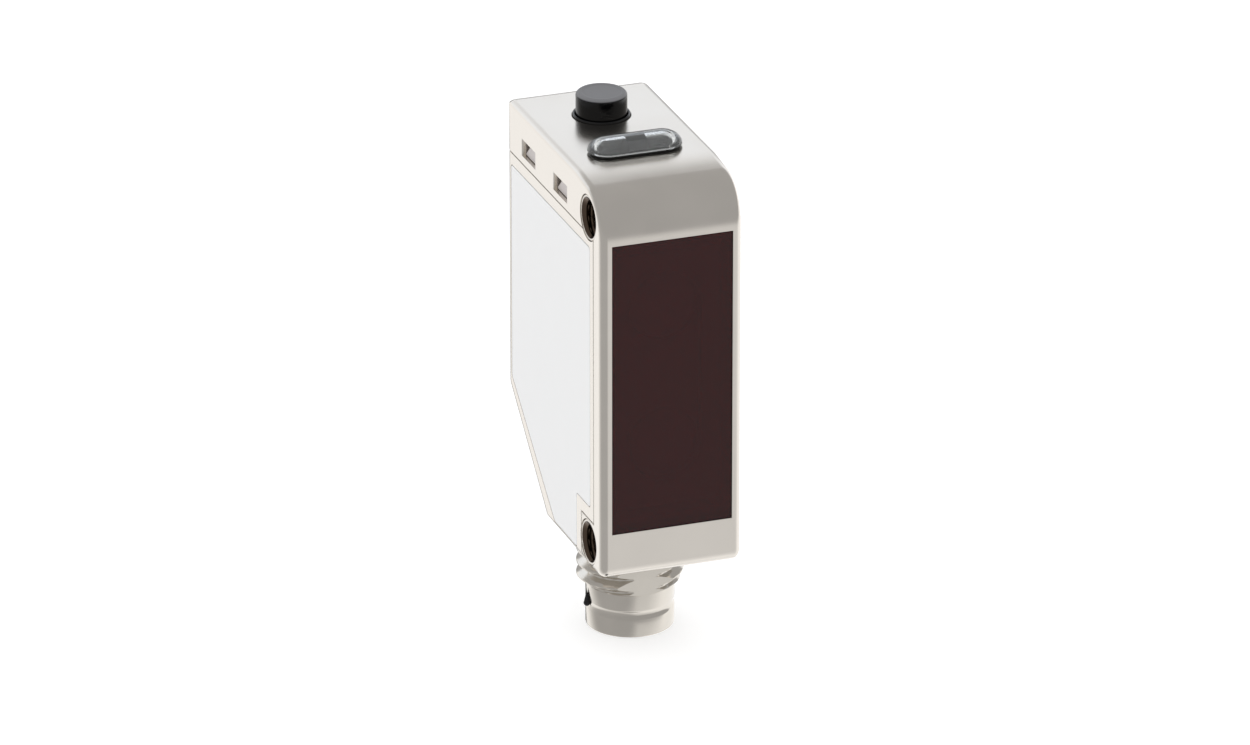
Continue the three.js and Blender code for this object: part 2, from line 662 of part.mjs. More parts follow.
function indicatorWindow() {
  const outer = dome(PILL_LENGTH, PILL_WIDTH, domeLow, domeHeight)
    .add(solid(extrudeUp(stadium(stemLength, stemWidth), CEILING - 0.1, domeLow + 0.1, 8)));
  const bore = stadium(stemLength - 2 * PILL_SHELL, stemWidth - 2 * PILL_SHELL);
  const inner = dome(stemLength - 2 * PILL_SHELL, stemWidth - 2 * PILL_SHELL, domeLow - 0.1, domeHeight - 0.2)
    .add(solid(extrudeUp(bore, CEILING - 1, domeLow, 8)));
  return surface(outer.subtract(inner));
}

function indicatorDivider() {
  const shrink = 2 * PILL_SHELL + 2 * FIT;
  const filled = dome(stemLength - shrink, stemWidth - shrink, domeLow - 0.1, domeHeight - 0.2 - 2 * FIT)
    .add(solid(extrudeUp(stadium(stemLength - shrink, stemWidth - shrink), UI_BOARD_TOP + FIT, domeLow, 8)));
  const wall = box(both(DIVIDER_WIDTH / 2), both(PILL_WIDTH), [UI_BOARD_TOP - 1, ROOF + PILL_HEIGHT]);
  return surface(filled.intersect(solid(wall)));
}

function indicatorSeal() {
  const ring = extrudeUp(stadium(PILL_LENGTH, PILL_WIDTH), ROOF + 0.01, ROOF + PILL_SEAL_HEIGHT, 8);
  const hole = extrudeUp(stadium(stemLength + 2 * FIT, stemWidth + 2 * FIT), ROOF - 1, ROOF + 1, 8);
  return surface(solid(ring).subtract(solid(hole)));
}

addTo(indicator, 'indicator_window', indicatorWindow(), 'clear');
addTo(indicator, 'indicator_divider', indicatorDivider(), 'blackPlastic');
addTo(indicator, 'indicator_seal', indicatorSeal(), 'rubber');
[['power', -1], ['output', 1]].forEach(([role, sign]) => {
  const led = box(both(0.7), both(0.45), [UI_BOARD_TOP + 0.02, UI_BOARD_TOP + 0.7]);
  addTo(indicator, `${role}_led`, led, 'led').position.x = sign * 1.85;
});

// ---------------------------------------------------------------- push button

const button = groupAt(0, BUTTON_Y, 0);

function buttonCap() {
  const top = ROOF + BUTTON_RISE;
  const rounding = 0.3;
  const profile = [[0, CAP_LOW], [BUTTON_RADIUS + 0.3, CAP_LOW], [BUTTON_RADIUS + 0.3, CAP_FLANGE_TOP]];
  profile.push([BUTTON_RADIUS, CAP_FLANGE_TOP]);
  for (let i = 0; i <= 4; i += 1) {
    const angle = (Math.PI / 2) * (i / 4);
    profile.push([
      BUTTON_RADIUS - rounding + rounding * Math.cos(angle),
      top - rounding + rounding * Math.sin(angle),
    ]);
  }
  profile.push([0, top]);
  return turned(profile);
}

function buttonSeal() {
  const bore = BUTTON_RADIUS + BUTTON_CLEARANCE;
  const top = ROOF + BUTTON_SEAL_RISE;
  const bead = (BUTTON_SEAL_RADIUS - bore) / 2;
  return turned([
    [bore, SEAL_FLANGE_LOW], [BUTTON_SEAL_RADIUS + 0.5, SEAL_FLANGE_LOW],
    [BUTTON_SEAL_RADIUS + 0.5, CEILING - FIT], [BUTTON_SEAL_RADIUS, CEILING - FIT],
    [BUTTON_SEAL_RADIUS, top - bead], [bore + bead, top], [bore, top - bead], [bore, SEAL_FLANGE_LOW],
  ]);
}

function switchBody() {
  const half = 1.5;
  const hole = new THREE.CylinderGeometry(SWITCH_HOLE_RADIUS, SWITCH_HOLE_RADIUS, 4, 24);
  const cut = hole.rotateX(Math.PI / 2).translate(0, 0, SWITCH_HOLE_FLOOR + 2);
  return surface(solid(box(both(half), both(half), [SWITCH_LOW, SWITCH_TOP])).subtract(solid(cut)));
}

// Snap dome: a thin arched disc standing on the floor of the switch
function switchDome() {
  const radius = SWITCH_HOLE_RADIUS - 0.06;
  const thickness = 0.08;
  const low = SWITCH_HOLE_FLOOR + 0.02;
  const rise = DOME_HEIGHT - thickness;
  const steps = 5;
  const arch = (offset) => Array.from({ length: steps + 1 }, (_, i) => {
    const r = radius * (1 - i / steps);
    return [r, low + offset + rise * (1 - (r / radius) ** 2)];
  });
  const under = arch(0).reverse();
  return turned([...under, ...arch(thickness)], 24);
}

addTo(button, 'button_cap', buttonCap(), 'blackPlastic');
addTo(button, 'button_seal', buttonSeal(), 'rubber');
addTo(button, 'switch_body', switchBody(), 'blackPlastic');
addTo(button, 'switch_plunger', turned([
  [0, PLUNGER_LOW], [PLUNGER_RADIUS, PLUNGER_LOW], [PLUNGER_RADIUS, CAP_LOW - 0.02], [0, CAP_LOW - 0.02],
], 24), 'blackPlastic');
addTo(button, 'switch_dome', switchDome(), 'spring');

// ---------------------------------------------------------------- connector

const connector = groupAt(0, CONNECTOR_Y, 0);
const shellTop = 10;
const flangeLow = FLOOR_INSIDE + 0.45;
const flangeHigh = flangeLow + 0.7;

// Thread radius at a height and angle: a 60 degree ridge with small flats, wound once per pitch
function threadRadius(height, angle) {
  const turn = height / THREAD_PITCH - angle / (2 * Math.PI);
  const wave = Math.abs(2 * (turn - Math.floor(turn)) - 1);
  const ramp = THREE.MathUtils.clamp((wave - 0.12) / 0.76, 0, 1);
  const runOut = THREE.MathUtils.clamp((height - THREAD_START) / 0.5, 0, 1);
  const crest = SLEEVE_RADIUS + (THREAD_RADIUS - SLEEVE_RADIUS) * runOut;
  return Math.min(crest, THREAD_RADIUS - THREAD_DEPTH * (1 - ramp));
}

function connectorShell() {
  const rows = 26;
  const threadTop = FLOOR - 0.05;
  const neck = SLEEVE_RADIUS + 0.32;
  const lead = 0.12;
  const outside = [
    [SOCKET_RADIUS + lead, 0], [SLEEVE_RADIUS - lead, 0], [SLEEVE_RADIUS, lead],
    [SLEEVE_RADIUS, GROOVE_LOW], [SLEEVE_RADIUS - GROOVE_DEPTH, GROOVE_LOW + GROOVE_DEPTH],
    [SLEEVE_RADIUS - GROOVE_DEPTH, GROOVE_HIGH - GROOVE_DEPTH], [SLEEVE_RADIUS, GROOVE_HIGH],
  ];
  const threadRows = Array.from({ length: rows + 1 }, (_, i) => (
    [SLEEVE_RADIUS, THREAD_START + (threadTop - THREAD_START) * (i / rows)]
  ));
  const inside = [
    [neck, threadTop], [neck, flangeLow], [FLANGE_RADIUS, flangeLow], [FLANGE_RADIUS, flangeHigh],
    [SLEEVE_RADIUS, flangeHigh], [SLEEVE_RADIUS, shellTop], [SOCKET_RADIUS, shellTop],
    [SOCKET_RADIUS, lead], [SOCKET_RADIUS + lead, 0],
  ];
  const geometry = turned([...outside, ...threadRows, ...inside]);
  // wind the thread: every vertex of the thread rows moves to its own radius
  const place = geometry.attributes.position;
  const firstRow = outside.length;
  const perColumn = outside.length + threadRows.length + inside.length;
  for (let i = 0; i < place.count; i += 1) {
    const row = (i % perColumn) - firstRow;
    if (row >= 0 && row <= rows) {
      const angle = Math.atan2(place.getY(i), place.getX(i));
      const radius = threadRadius(place.getZ(i), angle);
      place.setX(i, radius * Math.cos(angle));
      place.setY(i, radius * Math.sin(angle));
    }
  }
  const flats = box(both(FLANGE_RADIUS + 1), both(FLAT_DISTANCE), [-1, FLOOR - 0.1]);
  const flangeFlat = -SLEEVE_RADIUS - 0.35;
  const flange = box(both(FLANGE_RADIUS + 1), [flangeFlat, FLANGE_RADIUS + 1], [FLOOR - 0.1, shellTop + 1]);
  return surface(solid(geometry).intersect(solid(flats).add(solid(flange))));
}

function connectorInsert() {
  const top = shellTop + 0.3;
  const body = extrudeUp(disc(SOCKET_RADIUS - FIT), INSERT_FACE, top, 16);
  // key nose along the socket wall
  const key = box(both(0.35), [-SOCKET_RADIUS + 0.1, -SOCKET_RADIUS + 0.6], [1.5, INSERT_FACE + 0.5]);
  const holes = PIN_PLACES.map(([x, y]) => (
    solid(extrudeUp(disc(PIN_RADIUS + 0.03), 0, top + 1, 6).translate(x, y, 0))
  ));
  return surface(cutAll(solid(body).add(solid(key)), holes));
}

function contactPin() {
  const tip = 0.25;
  const shoulder = shellTop + 0.3;
  const tail = shoulder + 0.85;
  return turned([
    [0, PIN_TIP], [PIN_RADIUS - tip, PIN_TIP], [PIN_RADIUS, PIN_TIP + 1.6 * tip], [PIN_RADIUS, shoulder],
    [PIN_TAIL_RADIUS, shoulder], [PIN_TAIL_RADIUS, tail], [0, tail],
  ], 20);
}

function connectorSeal() {
  const section = 0.17;
  const middle = FLANGE_RADIUS - 0.28;
  const level = (FLOOR_INSIDE + flangeLow) / 2;
  const steps = 8;
  const profile = Array.from({ length: steps + 1 }, (_, i) => {
    const angle = (2 * Math.PI * (i % steps)) / steps;
    return [middle + section * Math.cos(angle), level + section * Math.sin(angle)];
  });
  return turned(profile);
}

// A drop standing upright against the sleeve, its inner side cut to the sleeve
function codingNib() {
  const steps = 8;
  const profile = [[0, NIB_LOW]];
  for (let i = 1; i <= steps; i += 1) {
    const angle = -Math.PI / 2 + (i / steps) * NIB_ARC;
    profile.push([NIB_RADIUS * Math.cos(angle), NIB_LOW + NIB_RADIUS * (1 + Math.sin(angle))]);
  }
  profile.push([NIB_RADIUS * NIB_NECK, NIB_LOW + NIB_SHOULDER * NIB_RADIUS], [0, NIB_TIP]);
  const drop = solid(turned(profile, 20).translate(-SLEEVE_RADIUS - NIB_STAND_OFF, 0, 0));
  const skin = SLEEVE_RADIUS + NIB_SKIN_GAP;
  const sleeve = new THREE.CylinderGeometry(skin, skin, 4 * NIB_TIP, 64).rotateX(Math.PI / 2);
  return surface(drop.subtract(solid(sleeve)));
}

addTo(connector, 'connector_shell', connectorShell(), 'nickel');
addTo(connector, 'coding_nib', codingNib(), 'blackPlastic');
addTo(connector, 'connector_insert', connectorInsert(), 'blackPlastic');
addTo(connector, 'connector_seal', connectorSeal(), 'rubber');
PIN_PLACES.forEach(([x, y], i) => {
  addTo(connector, `contact_pin_${i + 1}`, contactPin(), 'gold').position.set(x, y, 0);
});
const boardHoles = PIN_PLACES.map(([x, y]) => [x, y, PIN_TAIL_RADIUS + 0.04]);
const connectorBoard = extrudeUp(disc(3.3, boardHoles), shellTop + 0.35, shellTop + 0.35 + BOARD_THICKNESS);
addTo(connector, 'connector_board', connectorBoard, 'board');

export default sensor;
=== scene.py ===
"""Miniature photoelectric sensor: the finish of its pieces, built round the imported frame."""

import math

import bmesh
import bpy
from mathutils import Matrix, Vector
from mathutils.bvhtree import BVHTree


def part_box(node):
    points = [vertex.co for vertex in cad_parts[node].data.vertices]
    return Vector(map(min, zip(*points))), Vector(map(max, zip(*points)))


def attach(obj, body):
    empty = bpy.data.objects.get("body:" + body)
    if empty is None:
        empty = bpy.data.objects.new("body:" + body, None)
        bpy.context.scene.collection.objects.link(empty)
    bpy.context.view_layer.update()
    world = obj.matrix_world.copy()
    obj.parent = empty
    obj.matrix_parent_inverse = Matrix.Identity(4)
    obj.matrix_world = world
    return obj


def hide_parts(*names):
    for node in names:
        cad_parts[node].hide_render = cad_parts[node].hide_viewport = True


bl_info = {
    "name": "Photoelectric Sensor",
    "version": (1, 0, 0),
    "blender": (4, 5, 0),
    "location": "3D View > Sidebar > Sensor",
    "description": "Builds the housing, window, indicator, button and connector of a miniature sensor",
    "category": "Add Mesh",
}

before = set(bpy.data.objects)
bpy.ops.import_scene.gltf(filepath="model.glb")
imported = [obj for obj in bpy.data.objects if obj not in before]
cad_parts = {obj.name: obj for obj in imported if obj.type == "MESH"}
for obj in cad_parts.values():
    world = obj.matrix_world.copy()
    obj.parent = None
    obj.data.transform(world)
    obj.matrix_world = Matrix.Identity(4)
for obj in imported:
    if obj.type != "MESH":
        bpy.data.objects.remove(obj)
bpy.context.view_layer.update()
MM = 0.001
BODY, MOVING = "sensor", "button"


def box_mm(node_name):
    """Lowest and highest corner of a frame node, in millimetres."""
    low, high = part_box(node_name)
    return low / MM, high / MM


def middle(node_name):
    low, high = box_mm(node_name)
    return (low + high) / 2


# Places read from the frame, in millimetres
LOW, HIGH = box_mm("front_shell")
HALF = HIGH.x
FRONT, BACK, FLOOR, ROOF = LOW.y, HIGH.y, LOW.z, HIGH.z
WINDOW_LOW, WINDOW_HIGH = box_mm("front_window")
SEAL_HIGH = box_mm("window_seal")[1]
PLATE_LOW, PLATE_HIGH = box_mm("right_side_plate")
BUSH_LOW, BUSH_HIGH = box_mm("lower_mounting_bush")
BUSH_RADIUS = (BUSH_HIGH.z - BUSH_LOW.z) / 2
BUSH_CENTRES = [middle("lower_mounting_bush"), middle("upper_mounting_bush")]
PILL_LOW, PILL_HIGH = box_mm("indicator_window")
PILL = middle("indicator_window")
RIM_LOW, RIM_HIGH = box_mm("indicator_seal")
CAP_LOW, CAP_HIGH = box_mm("button_cap")
BUTTON = middle("button_cap")
COLLAR_LOW, COLLAR_HIGH = box_mm("button_seal")
SHELL_HIGH = box_mm("connector_shell")[1]
CONNECTOR = middle("connector_board")

# Fits and walls of the housing, in millimetres
WALL = 0.7
FIT = 0.04
BOSS_RADIUS = 2.4

# The edge rounding reaches further at the front edges than at the sides, and less at the roof
FRONT_SHARE, ROOF_SHARE = 1.4, 0.8

# Seams, heel and pockets, in millimetres
CEILING = ROOF - WALL
SEAM_Y = FRONT + 1.77
SEAM_Z = FLOOR + 26.1
NOTCH_Y = FRONT + 4.4
NOTCH_Z = FLOOR + 3.75
HEEL_DEPTH, HEEL_HEIGHT = 8.0, 7.3
SLOPE = math.atan2(HEEL_HEIGHT, HEEL_DEPTH)
POCKET_STARTS = (7.43, 14.3)
POCKET_SIZE = (2.88, 1.3)
POCKET_LEVEL = 26.7

# Connector, in millimetres, heights from its open end
SLEEVE_RADIUS, SOCKET_RADIUS = 3.28, 2.85
THREAD_START, THREAD_RADIUS = 3.35, 3.95
FLAT_DISTANCE = 3.31


# ---------------------------------------------------------------- sizes and colours

def millimetres(value, name, description):
    return bpy.props.FloatProperty(
        name=name, description=f"{description}, in millimetres", default=value, min=0.0, soft_max=10.0
    )


def linear(hex_value):
    """An sRGB hex colour as linear red, green, blue and alpha."""
    channels = [int(hex_value[i:i + 2], 16) / 255 for i in (1, 3, 5)]
    return [c / 12.92 if c <= 0.04045 else ((c + 0.055) / 1.055) ** 2.4 for c in channels] + [1.0]


def colour(hex_value, name, description):
    return bpy.props.FloatVectorProperty(
        name=name, description=description, subtype="COLOR", size=4, min=0.0, max=1.0,
        default=linear(hex_value),
    )


class SensorSizes(bpy.types.PropertyGroup):
    """Roundings, gaps and threads that the finish adds to the frame."""

    nose_radius: millimetres(3.5, "Nose radius", "Rounding from the front face to the slope above it")
    nose_start: millimetres(5.7, "Nose start", "Crease where the roof begins to fall, behind the front")
    nose_slope: bpy.props.FloatProperty(
        name="Nose slope", description="Fall of the roof in front of the crease",
        default=math.radians(6), subtype="ANGLE",
    )
    foot_radius: millimetres(0.9, "Foot radius", "Rounding from the front face to the floor")
    edge_radius: millimetres(0.55, "Edge radius", "Rounding of the side faces' edges")
    rear_radius: millimetres(1.25, "Rear radius", "Rounding of the rear edges and the heel")
    seam_gap: millimetres(0.06, "Seam gap", "Gap between the front shell and the rear cover")
    edge_break: millimetres(0.06, "Edge break", "Width of the chamfer on cut edges")
    cap_rounding: millimetres(0.3, "Cap rounding", "Rounding of the button's top edge")
    pill_wall: millimetres(0.3, "Pill wall", "Wall of the indicator window")
    collar_pitch: millimetres(1.0, "Collar pitch", "Pitch of the connector's M8 thread")
    collar_depth: millimetres(0.54, "Collar depth", "Depth of the connector's M8 thread")
    bush_pitch: millimetres(0.5, "Bush pitch", "Pitch of the bushes' M3 thread")
    bush_depth: millimetres(0.25, "Bush depth", "Depth of the bushes' M3 thread")


class SensorColours(bpy.types.PropertyGroup):
    """Base colours of the finishes."""

    casting: colour("#E6E0D8", "Casting", "Satin plated zinc casting")
    bush: colour("#D6D0C8", "Bush", "Turned bush")
    nickel: colour("#DDD7CE", "Nickel", "Nickel plated brass")
    gold: colour("#F0CB74", "Gold", "Gold plated contacts")
    film: colour("#F3F3F3", "Film", "Side plate film")
    filter: colour("#7A1512", "Filter", "Red window filter")
    black: colour("#1A1A1B", "Black plastic", "Moulded black plastic")
    grey: colour("#CDC6C3", "Grey plastic", "Moulded grey plastic")
    board: colour("#174A2C", "Board", "Solder mask")
    floor: colour("#F2F2F2", "Floor", "Pale floor")


def sizes():
    return bpy.context.scene.sensor_sizes


def colours():
    return bpy.context.scene.sensor_colours


# ---------------------------------------------------------------- outlines

def filleted(corners):
    """(u, v, radius, steps) corners of a closed outline, turned into points with round corners."""
    points = []
    count = len(corners)
    for i, (u, v, radius, steps) in enumerate(corners):
        here = Vector((u, v))
        if radius == 0:
            points.append(here)
            continue
        before = (Vector(corners[i - 1][:2]) - here).normalized()
        after = (Vector(corners[(i + 1) % count][:2]) - here).normalized()
        half_angle = before.angle(after) / 2
        centre = here + (before + after).normalized() * (radius / math.sin(half_angle))
        start = here + before * (radius / math.tan(half_angle)) - centre
        end = here + after * (radius / math.tan(half_angle)) - centre
        turn = math.atan2(start.x * end.y - start.y * end.x, start.dot(end))
        for k in range(steps + 1):
            points.append(centre + Matrix.Rotation(turn * k / steps, 2) @ start)
    return points


def stadium(length, width, centre=(0, 0), steps=24):
    """Points of a stadium, its length along the first axis."""
    radius = width / 2
    reach = length / 2 - radius
    points = []
    for side in (1, -1):
        for k in range(steps + 1):
            angle = math.pi * k / steps - math.pi / 2
            across, along = radius * math.sin(angle), reach + radius * math.cos(angle)
            points.append(Vector((centre[0] + side * along, centre[1] + side * across)))
    return points


VIEWS = {
    "side": lambda u, v, w: (w, u, v),
    "plan": lambda u, v, w: (u, v, w),
    "front": lambda u, v, w: (u, w, v),
}


# ---------------------------------------------------------------- solids in millimetres

def lofted(sections, view):
    """A closed solid through (outline, level) sections that all have the same number of points."""
    bm = bmesh.new()
    place = VIEWS[view]
    rings = [[bm.verts.new(place(u, v, level)) for u, v in outline] for outline, level in sections]
    bm.faces.new(rings[0])
    bm.faces.new(rings[-1])
    for near, far in zip(rings, rings[1:]):
        for i in range(len(near)):
            j = (i + 1) % len(near)
            bm.faces.new((near[i], near[j], far[j], far[i]))
    bmesh.ops.recalc_face_normals(bm, faces=bm.faces)
    return bm


def prism(outline, low, high, view):
    """A closed bar: the outline of one view, run from low to high along the third axis."""
    return lofted([(outline, low), (outline, high)], view)


def block(x, y, z):
    return prism([(x[0], y[0]), (x[1], y[0]), (x[1], y[1]), (x[0], y[1])], z[0], z[1], "plan")


def rounded_ends(low, high, radius, steps):
    """(inset, level) pairs that round both ends of a bar to the given radius."""
    angles = [math.pi / 2 * k / steps for k in range(steps + 1)]
    near = [(radius * (1 - math.sin(a)), low + radius * (1 - math.cos(a))) for a in angles]
    far = [(inset, high + low - level) for inset, level in reversed(near)]
    return near + far


def turned(profile, steps=96, centre=(0, 0, 0), along="z"):
    """A piece turned on a lathe from (radius, height) points. A closed profile makes a ring."""
    bm = bmesh.new()
    ring = profile[0] == profile[-1]
    rows = []
    for radius, height in profile[:-1] if ring else profile:
        if radius < 1e-6:
            rows.append([bm.verts.new((0, 0, height))] * steps)
            continue
        angles = [2 * math.pi * k / steps for k in range(steps)]
        rows.append([bm.verts.new((radius * math.cos(a), radius * math.sin(a), height)) for a in angles])
    for lower, upper in zip(rows, rows[1:] + rows[:1] if ring else rows[1:]):
        for k in range(steps):
            j = (k + 1) % steps
            corners = list(dict.fromkeys((lower[k], lower[j], upper[j], upper[k])))
            bm.faces.new(corners)
    bmesh.ops.recalc_face_normals(bm, faces=bm.faces)
    if along == "x":
        bmesh.ops.rotate(bm, verts=bm.verts, matrix=Matrix.Rotation(math.pi / 2, 3, "Y"))
    if along == "y":
        bmesh.ops.rotate(bm, verts=bm.verts, matrix=Matrix.Rotation(math.pi / 2, 3, "X"))
    bmesh.ops.translate(bm, verts=bm.verts, vec=centre)
    return bm


def arc(centre, radius, start, end, steps):
    """Profile points of an arc, angles in degrees."""
    angles = [math.radians(start + (end - start) * k / steps) for k in range(steps + 1)]
    return [(centre[0] + radius * math.cos(a), centre[1] + radius * math.sin(a)) for a in angles]


def temporary(bm, name="temporary"):
    mesh = bpy.data.meshes.new(name)
    bm.to_mesh(mesh)
    bm.free()
    piece = bpy.data.objects.new(name, mesh)
    bpy.context.scene.collection.objects.link(piece)
    return piece


def discard(*pieces):
    for piece in pieces:
        mesh = piece.data
        bpy.data.objects.remove(piece)
        bpy.data.meshes.remove(mesh)


def evaluated(piece):
    """The piece with its modifiers applied, as a bmesh. The piece itself is removed."""
    result = bmesh.new()
    result.from_object(piece, bpy.context.evaluated_depsgraph_get())
    discard(piece)
    return result


def combined(base, *steps):
    """base after each ("UNION", "DIFFERENCE" or "INTERSECT", solid) step."""
    made = temporary(base)
    tools = [temporary(tool) for _, tool in steps]
    for (operation, _), tool in zip(steps, tools):
        modifier = made.modifiers.new(operation, "BOOLEAN")
        modifier.operation = operation
        modifier.solver = "EXACT"
        modifier.object = tool
    result = evaluated(made)
    discard(*tools)
    bmesh.ops.remove_doubles(result, verts=result.verts, dist=2e-3)
    bmesh.ops.dissolve_limit(result, angle_limit=math.radians(0.1), verts=result.verts, edges=result.edges)
    return result


def sharp_edges(bm, degrees):
    limit = math.radians(degrees)
    return [e for e in bm.edges if len(e.link_faces) == 2 and e.calc_face_angle() > limit]


def rounded(bm, edges, radius, segments):
    bmesh.ops.bevel(
        bm, geom=edges, offset=radius, offset_type="OFFSET", segments=segments, profile=0.5,
        affect="EDGES", clamp_overlap=False, loop_slide=True, miter_outer="ARC",
    )
    bmesh.ops.remove_doubles(bm, verts=bm.verts, dist=1e-4)
    return bm


def edges_broken(bm, skin, width):
    """Chamfers the edges that cuts have left in the outer skin."""
    tree = BVHTree.FromBMesh(skin)
    skin.free()

    def outside(point):
        return tree.find_nearest(point)[3] < 0.004

    edges = [
        e for e in sharp_edges(bm, 40)
        if all(outside(p) for p in (e.verts[0].co, e.verts[1].co, (e.verts[0].co + e.verts[1].co) / 2))
    ]
    return rounded(bm, edges, width, 2)


def smoothed(piece, degrees):
    """Smooth shading up to the given angle, with normals weighted by face area."""
    piece.data.shade_smooth()
    piece.data.set_sharp_from_angle(angle=math.radians(degrees))
    weighted = piece.modifiers.new("weighted", "WEIGHTED_NORMAL")
    weighted.keep_sharp = True
    weighted.weight = 100


def plain(piece):
    """Swaps the piece's mesh for the plain mesh that its modifiers give."""
    before = piece.data
    after = bpy.data.meshes.new_from_object(piece.evaluated_get(bpy.context.evaluated_depsgraph_get()))
    piece.modifiers.clear()
    piece.data = after
    bpy.data.meshes.remove(before)
    after.name = piece.name


def finished(bm, name, material, body=BODY, replaced=None, degrees=32):
    """The solid as a piece in metres, smooth-shaded, riding on its body."""
    bmesh.ops.scale(bm, verts=bm.verts, vec=(MM, MM, MM))
    piece = temporary(bm, f"{name}_finish")
    smoothed(piece, degrees)
    plain(piece)
    piece.data.materials.clear()
    piece.data.materials.append(material)
    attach(piece, body)
    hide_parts(*(replaced or [name]))
    return piece


# ---------------------------------------------------------------- node helper and threads

def node(tree, kind, inputs=(), **settings):
    """Adds a node: settings are its properties; inputs pairs a socket with a value or a link."""
    made = tree.nodes.new(kind)
    for key, value in settings.items():
        setattr(made, key, value)
    for socket, value in dict(inputs).items():
        if isinstance(value, bpy.types.NodeSocket):
            tree.links.new(value, made.inputs[socket])
        else:
            made.inputs[socket].default_value = value
    return made


def sums(tree, operation, *values):
    """One Math node on the given values or links, as its output socket."""
    return node(tree, "ShaderNodeMath", dict(enumerate(values)), operation=operation).outputs[0]


def geometry_tree(name, inputs):
    """A Geometry Nodes tree with a mesh coming in and the named float or material inputs."""
    tree = bpy.data.node_groups.new(name, "GeometryNodeTree")
    tree.interface.new_socket("Geometry", in_out="OUTPUT", socket_type="NodeSocketGeometry")
    tree.interface.new_socket("Geometry", in_out="INPUT", socket_type="NodeSocketGeometry")
    for label, kind in inputs.items():
        tree.interface.new_socket(label, in_out="INPUT", socket_type=kind)
    return tree, node(tree, "NodeGroupInput").outputs


def closed_tree(tree, geometry, material):
    """Ends the tree in Realize Instances and Set Material."""
    realized = node(tree, "GeometryNodeRealizeInstances", {"Geometry": geometry})
    painted = node(tree, "GeometryNodeSetMaterial", {"Geometry": realized.outputs[0], "Material": material})
    node(tree, "NodeGroupOutput", {"Geometry": painted.outputs[0]})
    return tree


def through(tree, bm, values):
    """The solid passed through a Geometry Nodes tree with the named input values."""
    piece = temporary(bm)
    modifier = piece.modifiers.new(tree.name, "NODES")
    modifier.node_group = tree
    for item in tree.interface.items_tree:
        if item.in_out == "INPUT" and item.name in values:
            modifier[item.identifier] = values[item.name]
    return evaluated(piece)


def thread_tree():
    """Winds a 60 degree thread round Z: every point between two heights moves to its thread radius.

    Side is 1 for a thread on the outside, whose Root is its core, and -1 for one in a bore,
    whose Root is its widest radius. Skin is a radius between the threaded wall and any other.
    """
    floats = ("Pitch", "Depth", "Root", "Low", "High", "Side", "Skin")
    tree, given = geometry_tree("helical_thread", {
        **{label: "NodeSocketFloat" for label in floats}, "Material": "NodeSocketMaterial",
    })
    place = node(tree, "GeometryNodeInputPosition").outputs[0]
    axes = node(tree, "ShaderNodeSeparateXYZ", {0: place}).outputs
    angle = sums(tree, "ARCTAN2", axes["Y"], axes["X"])
    radius = sums(tree, "SQRT", sums(tree, "MULTIPLY_ADD", axes["X"], axes["X"],
                                     sums(tree, "MULTIPLY", axes["Y"], axes["Y"])))
    turns = sums(tree, "SUBTRACT", sums(tree, "DIVIDE", axes["Z"], given["Pitch"]),
                 sums(tree, "DIVIDE", angle, 2 * math.pi))
    wave = sums(tree, "PINGPONG", sums(tree, "MULTIPLY", turns, 2.0), 1.0)
    ridge = node(tree, "ShaderNodeMapRange", {"Value": wave, "From Min": 0.12, "From Max": 0.88}).outputs[0]
    wound = sums(tree, "MULTIPLY_ADD", given["Depth"], ridge,
                 sums(tree, "MULTIPLY", given["Root"], given["Side"]))
    here = sums(tree, "MULTIPLY", radius, given["Side"])
    wanted = sums(tree, "MINIMUM", here, wound)
    stretch = sums(tree, "DIVIDE", wanted, here)
    spread = node(tree, "ShaderNodeCombineXYZ", {"X": stretch, "Y": stretch, "Z": 1.0}).outputs[0]
    moved = node(tree, "ShaderNodeVectorMath", {0: place, 1: spread}, operation="MULTIPLY").outputs[0]
    threaded = sums(tree, "MULTIPLY", sums(tree, "GREATER_THAN", axes["Z"], given["Low"]),
                    sums(tree, "LESS_THAN", axes["Z"], given["High"]))
    threaded = sums(tree, "MULTIPLY", threaded, sums(
        tree, "GREATER_THAN", here, sums(tree, "MULTIPLY", given["Skin"], given["Side"])))
    chosen = node(tree, "FunctionNodeCompare", {0: threaded, 1: 0.5}, operation="GREATER_THAN").outputs[0]
    set_place = node(tree, "GeometryNodeSetPosition", {
        "Geometry": given["Geometry"], "Selection": chosen, "Position": moved,
    })
    return closed_tree(tree, set_place.outputs[0], given["Material"])


def pins_tree():
    """Stands four copies of one pin in two rows, each row with its own spacing and offset."""
    floats = ("Rear spacing", "Rear offset", "Front spacing", "Front offset")
    tree, given = geometry_tree("pin_rows", {
        **{label: "NodeSocketFloat" for label in floats}, "Material": "NodeSocketMaterial",
    })
    rows = []
    for row in ("Rear", "Front"):
        spacing, offset = given[f"{row} spacing"], given[f"{row} offset"]
        ends = [
            node(tree, "ShaderNodeCombineXYZ", {
                "X": sums(tree, "MULTIPLY", spacing, half), "Y": offset,
            }).outputs[0] for half in (-0.5, 0.5)
        ]
        rows.append(node(tree, "GeometryNodeMeshLine", {
            "Count": 2, "Start Location": ends[0], "Offset": ends[1],
        }, mode="END_POINTS").outputs[0])
    joined = node(tree, "GeometryNodeJoinGeometry")
    for row in rows:
        tree.links.new(row, joined.inputs[0])
    copies = node(tree, "GeometryNodeInstanceOnPoints", {
        "Points": joined.outputs[0], "Instance": given["Geometry"],
    })
    return closed_tree(tree, copies.outputs[0], given["Material"])


# ---------------------------------------------------------------- materials

def new_material(name, **principled):
    """A material with one Principled shader, its sockets set directly."""
    material = bpy.data.materials.new(name)
    material.use_nodes = True
    shader = material.node_tree.nodes["Principled BSDF"]
    for key, value in principled.items():
        shader.inputs[key.replace("_", " ")].default_value = value
    return material, material.node_tree, shader


